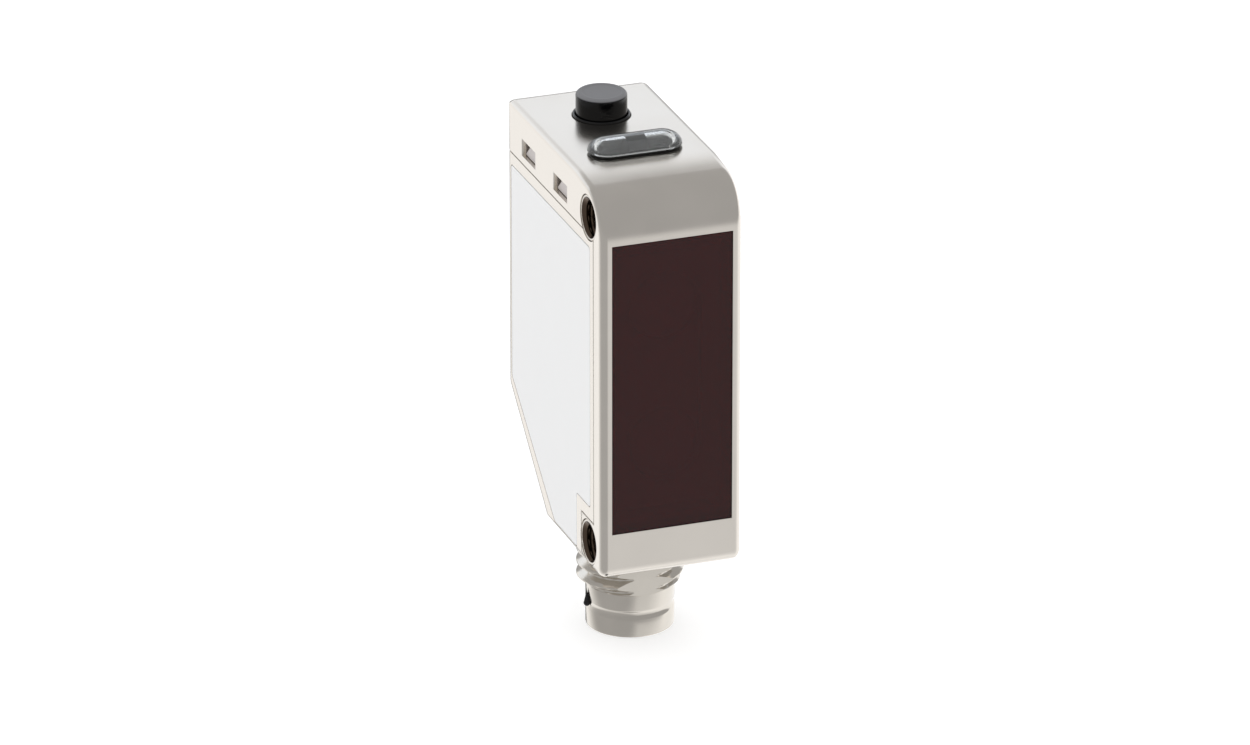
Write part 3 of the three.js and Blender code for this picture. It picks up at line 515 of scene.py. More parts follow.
def per_mm(size):
    """Scale of a pattern on Object coordinates whose features are size millimetres wide."""
    return 1 / (size * MM)


def tones(base, low, high):
    """Two shades of a base colour."""
    return [[min(1, channel * share) for channel in base[:3]] + [1] for share in (low, high)]


def surfaced(name, base, shades, cloud_mm, roughness, grain_mm, depth_mm, stretch=(1, 1, 1), **principled):
    """A shader with clouded colour and roughness and a fine grain in its normal.

    shades and roughness are (low, high) pairs across the clouds; grain_mm is the width of the
    grain and depth_mm its depth; stretch scales the grain's axes, so that it runs in lines.
    """
    material, tree, shader = new_material(name, **principled)
    place = node(tree, "ShaderNodeTexCoord").outputs["Object"]
    cloud = node(tree, "ShaderNodeTexNoise", {"Vector": place, "Scale": per_mm(cloud_mm), "Detail": 3.0})
    tint = node(tree, "ShaderNodeValToRGB", {"Fac": cloud.outputs["Fac"]})
    for element, position, shade in zip(tint.color_ramp.elements, (0.35, 0.65), tones(base, *shades)):
        element.position, element.color = position, shade
    tree.links.new(tint.outputs["Color"], shader.inputs["Base Color"])
    sheen = node(tree, "ShaderNodeMapRange", {
        "Value": cloud.outputs["Fac"], "From Min": 0.3, "From Max": 0.7,
        "To Min": roughness[0], "To Max": roughness[1],
    })
    tree.links.new(sheen.outputs["Result"], shader.inputs["Roughness"])
    lines = node(tree, "ShaderNodeMapping", {"Vector": place, "Scale": stretch}).outputs[0]
    grain = node(tree, "ShaderNodeTexNoise", {"Vector": lines, "Scale": per_mm(grain_mm), "Detail": 2.0})
    bump = node(tree, "ShaderNodeBump", {
        "Height": grain.outputs["Fac"], "Strength": 0.5, "Distance": depth_mm * MM,
    })
    tree.links.new(bump.outputs["Normal"], shader.inputs["Normal"])
    return material, tree, shader


def tinted(tree, shader, mask, hex_value):
    """Lays another base colour over the shader's own where the mask is 1."""
    own = shader.inputs["Base Color"].links[0].from_socket
    mixed = node(tree, "ShaderNodeMix", {
        "Factor": mask, 6: own, 7: linear(hex_value),
    }, data_type="RGBA").outputs[2]
    tree.links.new(mixed, shader.inputs["Base Color"])


def satin_plated_zinc():
    """Zinc die casting, blasted fine and nickel plated: soft-edged reflections with faint clouding."""
    # blasting pits are about 0.05 mm; drawn at 0.14 mm so that they show
    return surfaced(
        "satin_plated_zinc", colours().casting, (0.96, 1.0), 3.5, (0.2, 0.25), 0.14, 0.002, Metallic=1.0
    )[0]


def turned_brass_bush():
    """Nickel plated brass turned on a lathe: fine rings catch the light, and the threaded bore is painted
    dark brown as painted shade.
    """
    # feed marks are 0.06 mm apart
    material, tree, shader = surfaced(
        "turned_brass_bush", colours().bush, (0.92, 1.0), 2, (0.18, 0.26), 0.3, 0.003,
        stretch=(5, 1, 1), Metallic=1.0,
    )
    place = node(tree, "ShaderNodeTexCoord").outputs["Object"]
    across = node(tree, "ShaderNodeVectorMath", {0: place, 1: (0, 1, 1)}, operation="MULTIPLY").outputs[0]
    lower, upper = [
        node(tree, "ShaderNodeVectorMath", {
            0: across, 1: (0, centre.y * MM, centre.z * MM),
        }, operation="DISTANCE").outputs["Value"] for centre in BUSH_CENTRES
    ]
    # painted shade: the base colour turns dark brown inside the bores, where little light reaches the thread
    inside = sums(tree, "LESS_THAN", sums(tree, "MINIMUM", lower, upper), 1.53 * MM)
    tinted(tree, shader, inside, "#5E5044")
    return material


def nickel_plated_brass():
    """Nickel plated brass collar: warmer than the casting, with lathe marks round its axis."""
    # feed marks run round the axis, 0.08 mm apart
    return surfaced(
        "nickel_plated_brass", colours().nickel, (0.93, 1.0), 2.5, (0.13, 0.2), 0.8, 0.004,
        stretch=(0.3, 0.3, 10), Metallic=1.0,
    )[0]


def gold_plated_contact():
    """Gold flashed brass pins: bright and yellow, with faint clouds of wear."""
    return surfaced(
        "gold_plated_contact", colours().gold, (0.85, 1.0), 0.8, (0.12, 0.22), 0.2, 0.002,
        stretch=(1, 1, 4), Metallic=1.0,
    )[0]


def spring_steel():
    """Rolled stainless spring strip: grey, with fine rolling lines."""
    return surfaced(
        "spring_steel", linear("#C4C4C4"), (0.9, 1.0), 0.5, (0.2, 0.3), 0.1, 0.002,
        stretch=(6, 1, 1), Metallic=1.0,
    )[0]


def polyester_film():
    """Satin white polyester film: an even pale panel with a barely embossed surface."""
    # emboss cells are about 0.2 mm
    return surfaced("polyester_film", colours().film, (0.985, 1.0), 5, (0.34, 0.42), 0.2, 0.002, IOR=1.58)[0]


def moulded_black():
    """Black PBT, moulded in a finely eroded tool: dark grey sheen with a fine grain."""
    return surfaced(
        "moulded_black_pbt", colours().black, (0.8, 1.2), 2, (0.42, 0.55), 0.12, 0.004, IOR=1.55
    )[0]


def moulded_grey():
    """Light grey acetal snap frame: satin, slightly waxy."""
    return surfaced(
        "moulded_grey_acetal", colours().grey, (0.96, 1.0), 1.5, (0.35, 0.45), 0.1, 0.003, IOR=1.48
    )[0]


def black_elastomer():
    """Black silicone lip: smooth and wet-looking, with a little dust bloom."""
    return surfaced(
        "black_silicone", linear("#101011"), (0.8, 1.6), 0.6, (0.08, 0.16), 0.3, 0.002, IOR=1.43
    )[0]


def button_plastic():
    """Black button: polished sides, and a matt eroded top whose grey is a painted sheen, its base colour
    lightened.
    """
    material, tree, shader = surfaced(
        "button_black_pbt", linear("#0D0D0E"), (0.7, 1.0), 1.5, (0.1, 0.16), 0.12, 0.002, IOR=1.38
    )
    place = node(tree, "ShaderNodeTexCoord").outputs["Object"]
    height = node(tree, "ShaderNodeSeparateXYZ", {0: place}).outputs["Z"]
    edge = (CAP_HIGH.z - 0.22) * MM
    top = node(tree, "ShaderNodeMapRange", {
        "Value": height, "From Min": edge, "From Max": edge + 0.12 * MM,
    }, interpolation_type="SMOOTHSTEP").outputs["Result"]
    polish = shader.inputs["Roughness"].links[0].from_socket
    matte = node(tree, "ShaderNodeMix", {"Factor": top, 2: polish, 3: 0.5}).outputs[0]
    tree.links.new(matte, shader.inputs["Roughness"])
    # painted sheen: the top's base colour is lightened to grey where the eroded surface catches the light;
    # the matt roughness above is the real finish
    tinted(tree, shader, top, "#87878A")
    return material


def red_filter():
    """Deep red acrylic filter, polished: near black, with the optics just visible behind it."""
    return surfaced(
        "red_acrylic_filter", colours().filter, (0.96, 1.0), 6, (0.03, 0.05), 2, 0.001,
        IOR=1.38, Transmission_Weight=0.9,
    )[0]


def clear_polycarbonate():
    """Clear moulded polycarbonate, faintly milky: bright rims, and flow marks that bend what lies behind."""
    return surfaced(
        "clear_polycarbonate", linear("#F4F6F6"), (0.98, 1.0), 1.5, (0.02, 0.04), 0.7, 0.003,
        IOR=1.58, Transmission_Weight=0.88,
    )[0]


def lens_acrylic():
    """Clear acrylic lens with a faint blue coating."""
    return surfaced(
        "coated_acrylic_lens", linear("#B9C4E6"), (0.98, 1.0), 1, (0.02, 0.04), 0.5, 0.001,
        IOR=1.49, Transmission_Weight=1.0,
    )[0]


def solder_mask():
    """Green solder mask over copper: tracks show as paler, slightly raised lanes."""
    material, tree, shader = surfaced(
        "green_solder_mask", colours().board, (0.85, 1.1), 3, (0.25, 0.35), 0.1, 0.002, IOR=1.52
    )
    place = node(tree, "ShaderNodeTexCoord").outputs["Object"]
    # tracks are 0.25 mm wide, laid out as the edges of 1.2 mm cells
    cells = node(tree, "ShaderNodeTexVoronoi", {
        "Vector": place, "Scale": per_mm(1.2), "Randomness": 0.6,
    }, distance="CHEBYCHEV", feature="F2")
    lane = node(tree, "ShaderNodeMath", {0: cells.outputs["Distance"], 1: 0.75}, operation="GREATER_THAN")
    tinted(tree, shader, lane.outputs[0], "#2C7A4A")
    return material


def polyimide_film():
    """Amber polyimide film over copper lanes."""
    return surfaced(
        "amber_polyimide", linear("#B0681C"), (0.8, 1.1), 0.6, (0.2, 0.3), 0.3, 0.002,
        stretch=(4, 1, 1), IOR=1.7,
    )[0]


def moulding_epoxy():
    """Black epoxy chip body, ejected from a matte mould."""
    return surfaced(
        "moulding_epoxy", linear("#242426"), (0.85, 1.15), 0.8, (0.5, 0.65), 0.08, 0.003, IOR=1.55
    )[0]


def led_body():
    """White LED body with clear encapsulant."""
    return surfaced(
        "led_encapsulant", linear("#E9E5D4"), (0.94, 1.0), 0.4, (0.1, 0.2), 0.1, 0.001, IOR=1.5
    )[0]


FINISHES = {
    "casting": satin_plated_zinc, "bush": turned_brass_bush, "nickel": nickel_plated_brass,
    "gold": gold_plated_contact, "spring": spring_steel, "plate": polyester_film,
    "black_plastic": moulded_black, "grey_plastic": moulded_grey, "rubber": black_elastomer,
    "button": button_plastic, "filter": red_filter, "clear": clear_polycarbonate,
    "lens": lens_acrylic, "board": solder_mask, "polyimide": polyimide_film,
    "chip": moulding_epoxy, "led": led_body,
}
MATERIALS = {}


def material_of(finish):
    """The material of a finish, made when it is first asked for."""
    if finish not in MATERIALS:
        MATERIALS[finish] = FINISHES[finish]()
    return MATERIALS[finish]


# ---------------------------------------------------------------- housing

def side_outline(inset, ahead, above):
    """Side view of the housing (Y, Z), moved in by inset, but by ahead at the front and above at the roof."""
    size = sizes()
    fall = (size.nose_start - ahead) * math.tan(size.nose_slope)
    heel_y = BACK - HEEL_DEPTH - inset * math.tan(SLOPE / 2)
    heel_z = FLOOR + HEEL_HEIGHT + inset * math.tan(math.pi / 4 - SLOPE / 2)
    return filleted([
        (FRONT + ahead, FLOOR + inset, max(size.foot_radius - inset, 0.1), 8),
        (heel_y, FLOOR + inset, max(1 - inset, 0.1), 6),
        (BACK - inset, heel_z, max(1.2 - inset, 0.1), 8),
        (BACK - inset, ROOF - above, max(1.2 - inset, 0.05), 8),
        (FRONT + size.nose_start, ROOF - above, 0, 0),
        (FRONT + ahead, ROOF - above - fall, size.nose_radius - ahead, 24),
    ])


def rear_outline(inset):
    """Back and heel alone, run on far past the housing."""
    back = BACK - inset
    heel_z = FLOOR + HEEL_HEIGHT + inset * math.tan(math.pi / 4 - SLOPE / 2)
    reach = 30
    return filleted([
        (back - reach, heel_z - reach * math.tan(SLOPE), 0, 0),
        (back, heel_z, 1.4 - inset, 8),
        (back, ROOF + reach, 0, 0),
        (back - reach, ROOF + reach, 0, 0),
    ])


def envelope():
    """The whole housing as one rounded block."""
    size = sizes()
    body = lofted([
        (side_outline(inset, FRONT_SHARE * inset, ROOF_SHARE * inset), x)
        for inset, x in rounded_ends(-HALF, HALF, size.edge_radius, 7)
    ], "side")
    rear = lofted([
        (rear_outline(inset), x) for inset, x in rounded_ends(-HALF, HALF, size.rear_radius, 10)
    ], "side")
    return combined(body, ("INTERSECT", rear))


def front_region(gap):
    """Side view of everything in front of and above the parting line."""
    reach = 40
    y, z = NOTCH_Y + gap, NOTCH_Z + gap
    outline = [
        (-reach, -reach), (y, -reach), (y, z), (SEAM_Y + gap, z),
        (SEAM_Y + gap, SEAM_Z - gap), (reach, SEAM_Z - gap), (reach, 2 * reach), (-reach, 2 * reach),
    ]
    return prism(outline, -2 * HALF, 2 * HALF, "side")


def plug(radius, low, high, steps, centre, along="z"):
    """A plain round bar from low to high, to cut a hole with."""
    return turned([(0, low), (radius, low), (radius, high), (0, high)], steps, centre, along)


def cavity():
    return prism(side_outline(WALL, WALL, WALL), WALL - HALF, HALF - WALL, "side")


def bush_holes():
    """Two cross holes for the bushes, cut last: the upper one's rim runs out into the nose's rounding."""
    return [
        ("DIFFERENCE", plug(BUSH_RADIUS + FIT, -HALF - 1, HALF + 1, 96, centre, "x"))
        for centre in BUSH_CENTRES
    ]


def front_shell():
    size = sizes()
    bosses = [("DIFFERENCE", plug(BOSS_RADIUS, -HALF, HALF, 48, centre, "x")) for centre in BUSH_CENTRES]
    width = WINDOW_HIGH.x
    ledge_front, ledge_rear = SEAL_HIGH.y + FIT, SEAL_HIGH.y + FIT + 0.4
    frame_block = block(
        (-HALF + 0.4, HALF - 0.4), (FRONT + 0.3, ledge_rear), (FLOOR + 0.5, WINDOW_HIGH.z + 0.6)
    )
    opening = block(
        (-width - FIT, width + FIT), (FRONT - 1, ledge_front), (WINDOW_LOW.z - FIT, WINDOW_HIGH.z + FIT)
    )
    light_way = block(
        (0.45 - width, width - 0.45), (FRONT - 1, ledge_rear + 1), (WINDOW_LOW.z + 0.65, WINDOW_HIGH.z - 0.65)
    )
    pockets = [
        block((-2 * HALF, 2 * HALF), (FRONT + start, FRONT + start + POCKET_SIZE[0]),
              (FLOOR + POCKET_LEVEL, FLOOR + POCKET_LEVEL + POCKET_SIZE[1]))
        for start in POCKET_STARTS
    ]
    stem = [RIM_HIGH.x - RIM_LOW.x - 0.7 + 2 * FIT, RIM_HIGH.y - RIM_LOW.y - 0.7 + 2 * FIT]
    pill_hole = prism(stadium(*stem, centre=PILL.xy), CEILING - 1, ROOF + 1, "plan")
    button_hole = plug(2.12 + FIT, CEILING - 1, ROOF + 1, 96, (BUTTON.x, BUTTON.y, 0))
    shell = combined(
        envelope(),
        ("INTERSECT", front_region(0)),
        ("DIFFERENCE", combined(cavity(), *bosses)),
        ("UNION", frame_block),
        ("DIFFERENCE", opening),
        ("DIFFERENCE", light_way),
        *[("DIFFERENCE", pocket) for pocket in pockets],
        ("DIFFERENCE", pill_hole),
        ("DIFFERENCE", button_hole),
    )
    shell = combined(edges_broken(shell, envelope(), size.edge_break), *bush_holes())
    return finished(shell, "front_shell", material_of("casting"))


def plate_outline(grow):
    """Side view of the side plate, which steps round the lower bush; grow widens it."""
    low, high = PLATE_LOW.z - grow, PLATE_HIGH.z + grow
    front, rear = PLATE_LOW.y - grow, PLATE_HIGH.y + grow
    corner = 0.25
    return filleted([
        (FRONT + 5.5 - grow, low, corner, 4),
        (FRONT + 10.2 + grow / 2, low, corner, 4),
        (rear, FLOOR + 8.4 - grow / 2, 0.5, 4),
        (rear, high, corner, 4),
        (front, high, corner, 4),
        (front, FLOOR + 4.8 - grow, corner, 4),
        (FRONT + 5.5 - grow, FLOOR + 4.8 - grow, 0.2, 4),
    ])


def rear_cover():
    size = sizes()
    recess = HALF - 0.1
    cover = combined(
        envelope(),
        ("DIFFERENCE", front_region(size.seam_gap)),
        ("DIFFERENCE", cavity()),
        ("DIFFERENCE", prism(plate_outline(FIT), recess, HALF + 1, "side")),
        ("DIFFERENCE", prism(plate_outline(FIT), -HALF - 1, -recess, "side")),
        ("DIFFERENCE", plug(SLEEVE_RADIUS + 0.36, FLOOR - 1, FLOOR + 2, 96, (0, CONNECTOR.y, 0))),
    )
    cover = combined(edges_broken(cover, envelope(), size.edge_break), *bush_holes())
    return finished(cover, "rear_cover", material_of("casting"))


def side_plates():
    for name in ("left_side_plate", "right_side_plate"):
        low, high = box_mm(name)
        plate = prism(plate_outline(0), low.x, high.x, "side")
        rounded(plate, sharp_edges(plate, 60), 0.02, 1)
        finished(plate, name, material_of("plate"))


def mounting_bushes():
    """Turned rings with an M3 thread wound through their bores."""
    size = sizes()
    tree = thread_tree()
    widest = 1.5
    end = BUSH_HIGH.x
    bore = widest - size.bush_depth
    chamfer = 0.25
    rows = 220
    for name, centre in zip(("lower_mounting_bush", "upper_mounting_bush"), BUSH_CENTRES):
        run = end - chamfer
        wall = [(bore, run - 2 * run * k / rows) for k in range(rows + 1)]
        profile = [
            (widest + 0.02, -end), (BUSH_RADIUS - 0.05, -end), (BUSH_RADIUS, -end + 0.05),
            (BUSH_RADIUS, end - 0.05), (BUSH_RADIUS - 0.05, end), (widest + 0.02, end), *wall,
            (widest + 0.02, -end),
        ]
        ring = through(tree, turned(profile, 64), {
            "Pitch": size.bush_pitch, "Depth": size.bush_depth, "Root": widest, "Low": -run - 0.01,
            "High": run + 0.01, "Side": -1.0, "Skin": 1.6, "Material": material_of("bush"),
        })
        bmesh.ops.rotate(ring, verts=ring.verts, matrix=Matrix.Rotation(math.pi / 2, 3, "Y"))
        bmesh.ops.translate(ring, verts=ring.verts, vec=centre)
        finished(ring, name, material_of("bush"), degrees=40)


# ---------------------------------------------------------------- window and optics

def front_window():
    pane = block(*zip(WINDOW_LOW, WINDOW_HIGH))
    rounded(pane, sharp_edges(pane, 60), 0.04, 2)
    finished(pane, "front_window", material_of("filter"))


def lenses():
    for name in ("receiver_lens", "emitter_lens"):
        low, high = box_mm(name)
        radius = (high.x - low.x) / 2
        crown, edge = 0.7, high.y - low.y - 0.7
        sphere = (radius ** 2 + crown ** 2) / (2 * crown)
        reach = math.degrees(math.asin((radius - 0.05) / sphere))
        face = arc((0, -crown + sphere), sphere, -90, -90 + reach, 16)
        profile = [(0, -crown), *face[1:], (radius, face[-1][1] + 0.05), (radius, edge - 0.08),
                   (radius - 0.08, edge), (0, edge)]
        centre = (0, high.y - edge, (low.z + high.z) / 2)
        bm = turned([(r, -h) for r, h in profile], 64, centre, "y")
        finished(bm, name, material_of("lens"))


# ---------------------------------------------------------------- indicator

def capsule(length, width, low, height, steps=14):
    """Upper half of a flattened capsule on the given level."""
    rim = width / 2 - 0.08
    angles = [math.pi / 2 * k / steps for k in range(steps + 1)]
    return lofted([
        (stadium(length - 2 * rim * (1 - math.cos(a)), width - 2 * rim * (1 - math.cos(a)), PILL.xy),
         low + height * math.sin(a))
        for a in angles
    ], "plan")


def indicator():
    size = sizes()
    length, width = PILL_HIGH.x - PILL_LOW.x, PILL_HIGH.y - PILL_LOW.y
    foot = RIM_HIGH.z + FIT
    rise = PILL_HIGH.z - foot
    inset = 0.35
    wall = size.pill_wall
    stem = prism(stadium(length - 2 * inset, width - 2 * inset, PILL.xy), CEILING - 0.1, foot + 0.1, "plan")
    inner_length, inner_width = length - 2 * (inset + wall), width - 2 * (inset + wall)
    room = capsule(inner_length, inner_width, foot - 0.1, rise - wall)
    shaft = prism(stadium(inner_length, inner_width, PILL.xy), CEILING - 1, foot, "plan")
    shell = combined(
        capsule(length, width, foot, rise), ("UNION", stem), ("DIFFERENCE", room), ("DIFFERENCE", shaft)
    )
    finished(shell, "indicator_window", material_of("clear"), degrees=40)
    lip = 0.18
    outer = stadium(length - lip, width - lip, PILL.xy)
    hole = stadium(length - 2 * inset + 2 * FIT, width - 2 * inset + 2 * FIT, PILL.xy)
    rim = combined(
        prism(outer, RIM_LOW.z, RIM_HIGH.z, "plan"), ("DIFFERENCE", prism(hole, ROOF - 1, ROOF + 1, "plan"))
    )
    rounded(rim, sharp_edges(rim, 60), 0.04, 2)
    finished(rim, "indicator_seal", material_of("rubber"))


# ---------------------------------------------------------------- push button

def button():
    size = sizes()
    radius = 1.89
    axis = (BUTTON.x, BUTTON.y, 0)
    top, soft = CAP_HIGH.z, size.cap_rounding
    flange = CAP_LOW.z + 0.3
    dish = [
        (radius - soft - 0.05 - 0.04 * k, top - 0.06 * math.sin(math.pi / 2 * k / 6) ** 2) for k in range(7)
    ]
    profile = [
        (0, CAP_LOW.z), (CAP_HIGH.x, CAP_LOW.z), (CAP_HIGH.x, flange), (radius, flange),
        (radius, flange + 0.2), *arc((radius - soft, top - soft), soft, 0, 90, 10), *dish, (0, dish[-1][1]),
    ]
    finished(turned(profile, 128, axis), "button_cap", material_of("button"), MOVING)
    bore, lip = radius + 0.05, 2.12
    rise, seat = COLLAR_HIGH.z, CEILING - FIT
    bead = (lip - bore) / 2
    collar = [
        (bore, COLLAR_LOW.z), (COLLAR_HIGH.x, COLLAR_LOW.z), (COLLAR_HIGH.x, seat), (lip, seat),
        *arc((bore + bead, rise - bead), bead, 0, 180, 12), (bore, COLLAR_LOW.z),
    ]
    finished(turned(collar, 128, axis), "button_seal", material_of("rubber"))
    low, high = box_mm("switch_plunger")
    reach = (high.x - low.x) / 2
    stem = [(0, low.z), *arc((reach - 0.15, low.z + 0.15), 0.15, -90, 0, 5), (reach, high.z - 0.05),
            (reach - 0.05, high.z), (0, high.z)]
    finished(turned(stem, 48, axis), "switch_plunger", material_of("black_plastic"), MOVING)


# ---------------------------------------------------------------- connector

def connector_shell():
    """Collar and flange in one turned piece: M8 thread, two flats, snap groove and socket."""
    size = sizes()
    root = THREAD_RADIUS - size.collar_depth
    thread_top = FLOOR - 0.05
    neck = SLEEVE_RADIUS + 0.32
    rows = 104
    lead = 0.12
    run_out = 0.5
    threaded = [
        (SLEEVE_RADIUS + 0.01 + (THREAD_RADIUS - SLEEVE_RADIUS) * min(1, 4.3 * k / rows / run_out),
         THREAD_START + (thread_top - THREAD_START) * k / rows)
        for k in range(rows + 1)
    ]
    flange_low, flange_high = FLOOR + WALL + 0.45, FLOOR + WALL + 1.15
    groove_low, groove_high, groove_depth = 1.4, 2.15, 0.13
    groove_steps = 16
    groove = [
        (SLEEVE_RADIUS - groove_depth * math.sin(math.pi * k / groove_steps) ** 1.3,
         groove_low + (groove_high - groove_low) * k / groove_steps)
        for k in range(groove_steps + 1)
    ]
    profile = [
        (SOCKET_RADIUS + lead, 0), *arc((SLEEVE_RADIUS - lead, lead), lead, -90, 0, 5), *groove, *threaded,
        (neck, thread_top), (neck, flange_low), (SHELL_HIGH.x, flange_low), (SHELL_HIGH.x, flange_high),
        (SLEEVE_RADIUS, flange_high), (SLEEVE_RADIUS, SHELL_HIGH.z), (SOCKET_RADIUS, SHELL_HIGH.z),
        (SOCKET_RADIUS, lead), (SOCKET_RADIUS + lead, 0),
    ]
    collar = through(thread_tree(), turned(profile, 160), {
        "Pitch": size.collar_pitch, "Depth": size.collar_depth, "Root": root, "Low": THREAD_START - 0.01,
        "High": thread_top - 0.01, "Side": 1.0, "Skin": SLEEVE_RADIUS - 0.1,
        "Material": material_of("nickel"),
    })
    across = (-SHELL_HIGH.x - 1, SHELL_HIGH.x + 1)
    flats = block(across, (-FLAT_DISTANCE, FLAT_DISTANCE), (-1, FLOOR - 0.02))
    above = block(across, (-neck - 0.03, SHELL_HIGH.x + 1), (FLOOR - 0.1, SHELL_HIGH.z + 1))
    collar = combined(collar, ("INTERSECT", combined(flats, ("UNION", above))))
    bmesh.ops.translate(collar, verts=collar.verts, vec=(0, CONNECTOR.y, 0))
    finished(collar, "connector_shell", material_of("nickel"), degrees=30)


def contact_pins():
    low, high = box_mm("contact_pin_1")
    radius, tail, shoulder = 0.5, 0.3, high.z - 0.85
    profile = [
        (0, low.z), *arc((radius - 0.3, low.z + 0.3), 0.3, -90, -20, 6), (radius, low.z + 0.5),
        (radius, shoulder), (tail, shoulder), (tail, high.z - 0.05), (tail - 0.05, high.z), (0, high.z),
    ]
    places = [middle(f"contact_pin_{i}") for i in (1, 2, 3, 4)]
    pins = through(pins_tree(), turned(profile, 40), {
        "Rear spacing": places[1].x - places[0].x, "Rear offset": places[0].y,
        "Front spacing": places[3].x - places[2].x, "Front offset": places[2].y,
        "Material": material_of("gold"),
    })
    nodes = [f"contact_pin_{i}" for i in (1, 2, 3, 4)]
    finished(pins, "contact_pins", material_of("gold"), replaced=nodes)


def coding_nib():
    """Black drop-shaped nib that stands on the left of the sleeve and shows where the key is."""
    low, high = box_mm("coding_nib")
    radius = (high.y - low.y) / 2
    profile = [(0, low.z), *arc((0, low.z + radius), radius, -75, 20, 10)]
    start = profile[-1]
    steps = 8
    for k in range(1, steps):
        share = k / steps
        profile.append((start[0] * (1 - share) ** 1.25, start[1] + (high.z - start[1]) * share))
    profile.append((0, high.z))
    nib = turned(profile, 40, (low.x + radius, CONNECTOR.y, 0))
    finished(nib, "coding_nib", material_of("rubber"))


def o_ring():
    low, high = box_mm("connector_seal")
    section = (high.z - low.z) / 2
    middle_radius = (high.x - low.x) / 2 - section
    profile = arc((middle_radius, 0), section, 0, 360, 16)
    profile[-1] = profile[0]
    ring = turned(profile, 96, (0, CONNECTOR.y, (low.z + high.z) / 2))
    finished(ring, "connector_seal", material_of("rubber"))


# ---------------------------------------------------------------- pieces inside

# Frame nodes whose own shape is right: node, edge rounding in millimetres, finish
INNER_PIECES = [
    ("window_seal", 0.03, "rubber"),
    ("optics_carrier", 0.06, "black_plastic"),
    ("snap_frame", 0.06, "grey_plastic"),
    ("emitter_led", 0.06, "led"),
    ("receiver_photodiode", 0.05, "chip"),
    ("optics_board", 0.03, "board"),
    ("main_board", 0.03, "board"),
    ("ui_board", 0.03, "board"),
    ("connector_board", 0.03, "board"),
    ("control_chip", 0.06, "chip"),
    ("output_driver_chip", 0.06, "chip"),
    ("buffer_capacitor", 0.1, "chip"),
    ("protection_diode", 0.06, "chip"),
    ("flex_link", 0.02, "polyimide"),
    ("power_led", 0.05, "led"),
    ("output_led", 0.05, "led"),
    ("indicator_divider", 0.04, "black_plastic"),
    ("switch_body", 0.08, "black_plastic"),
    ("connector_insert", 0.05, "black_plastic"),
]


def refined(name, rounding, finish):
    """A copy of a frame node with its loose triangles merged and its edges rounded."""
    bm = bmesh.new()
    bm.from_mesh(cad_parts[name].data)
    bmesh.ops.scale(bm, verts=bm.verts, vec=(1 / MM, 1 / MM, 1 / MM))
    bmesh.ops.remove_doubles(bm, verts=bm.verts, dist=1e-3)
    bmesh.ops.dissolve_limit(bm, angle_limit=math.radians(0.5), verts=bm.verts, edges=bm.edges)
    rounded(bm, sharp_edges(bm, 35), rounding, 2)
    finished(bm, name, material_of(finish))


# ---------------------------------------------------------------- operators

class SENSOR_OT_housing(bpy.types.Operator):
    """Builds the front shell, the rear cover, the side plates and the bushes"""

    bl_idname = "sensor.housing"
    bl_label = "Housing"

    def execute(self, context):
        front_shell()
        rear_cover()
        side_plates()
        mounting_bushes()
        return {"FINISHED"}


class SENSOR_OT_optics(bpy.types.Operator):
    """Builds the front window and the lenses"""

    bl_idname = "sensor.optics"
    bl_label = "Window and lenses"

    def execute(self, context):
        front_window()
        lenses()
        return {"FINISHED"}


class SENSOR_OT_indicator(bpy.types.Operator):
    """Builds the clear indicator and its rim"""

    bl_idname = "sensor.indicator"
    bl_label = "Indicator"

    def execute(self, context):
        indicator()
        return {"FINISHED"}


class SENSOR_OT_button(bpy.types.Operator):
    """Builds the push button and its collar"""

    bl_idname = "sensor.button"
    bl_label = "Button"

    def execute(self, context):
        button()
        return {"FINISHED"}


class SENSOR_OT_connector(bpy.types.Operator):
    """Builds the threaded collar, its pins, seal and coding nib"""

    bl_idname = "sensor.connector"
    bl_label = "Connector"

    def execute(self, context):
        connector_shell()
        contact_pins()
        coding_nib()
        o_ring()
        return {"FINISHED"}


class SENSOR_OT_inner_pieces(bpy.types.Operator):
    """Finishes the pieces inside the housing"""

    bl_idname = "sensor.inner_pieces"
    bl_label = "Inner pieces"

    def execute(self, context):
        for name, rounding, finish in INNER_PIECES:
            refined(name, rounding, finish)
        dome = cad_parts["switch_dome"]
        dome.data.materials.clear()
        dome.data.materials.append(material_of("spring"))
        return {"FINISHED"}


# ---------------------------------------------------------------- stage

def aim(piece, target):
    piece.rotation_euler = (Vector(target) - piece.location).to_track_quat("-Z", "Y").to_euler()


def direction(azimuth, elevation):
    """Unit vector from the sensor towards the camera; azimuth 0 is in front of the window."""
    a, e = math.radians(azimuth), math.radians(elevation)
    return Vector((math.sin(a) * math.cos(e), -math.cos(a) * math.cos(e), math.sin(e)))


def faded(tree, value, start, end, low, high):
    """Runs smoothly from low to high while the value goes from start to end."""
    return node(tree, "ShaderNodeMapRange", {
        "Value": value, "From Min": start, "From Max": end, "To Min": low, "To Max": high,
    }, interpolation_type="SMOOTHSTEP").outputs["Result"]


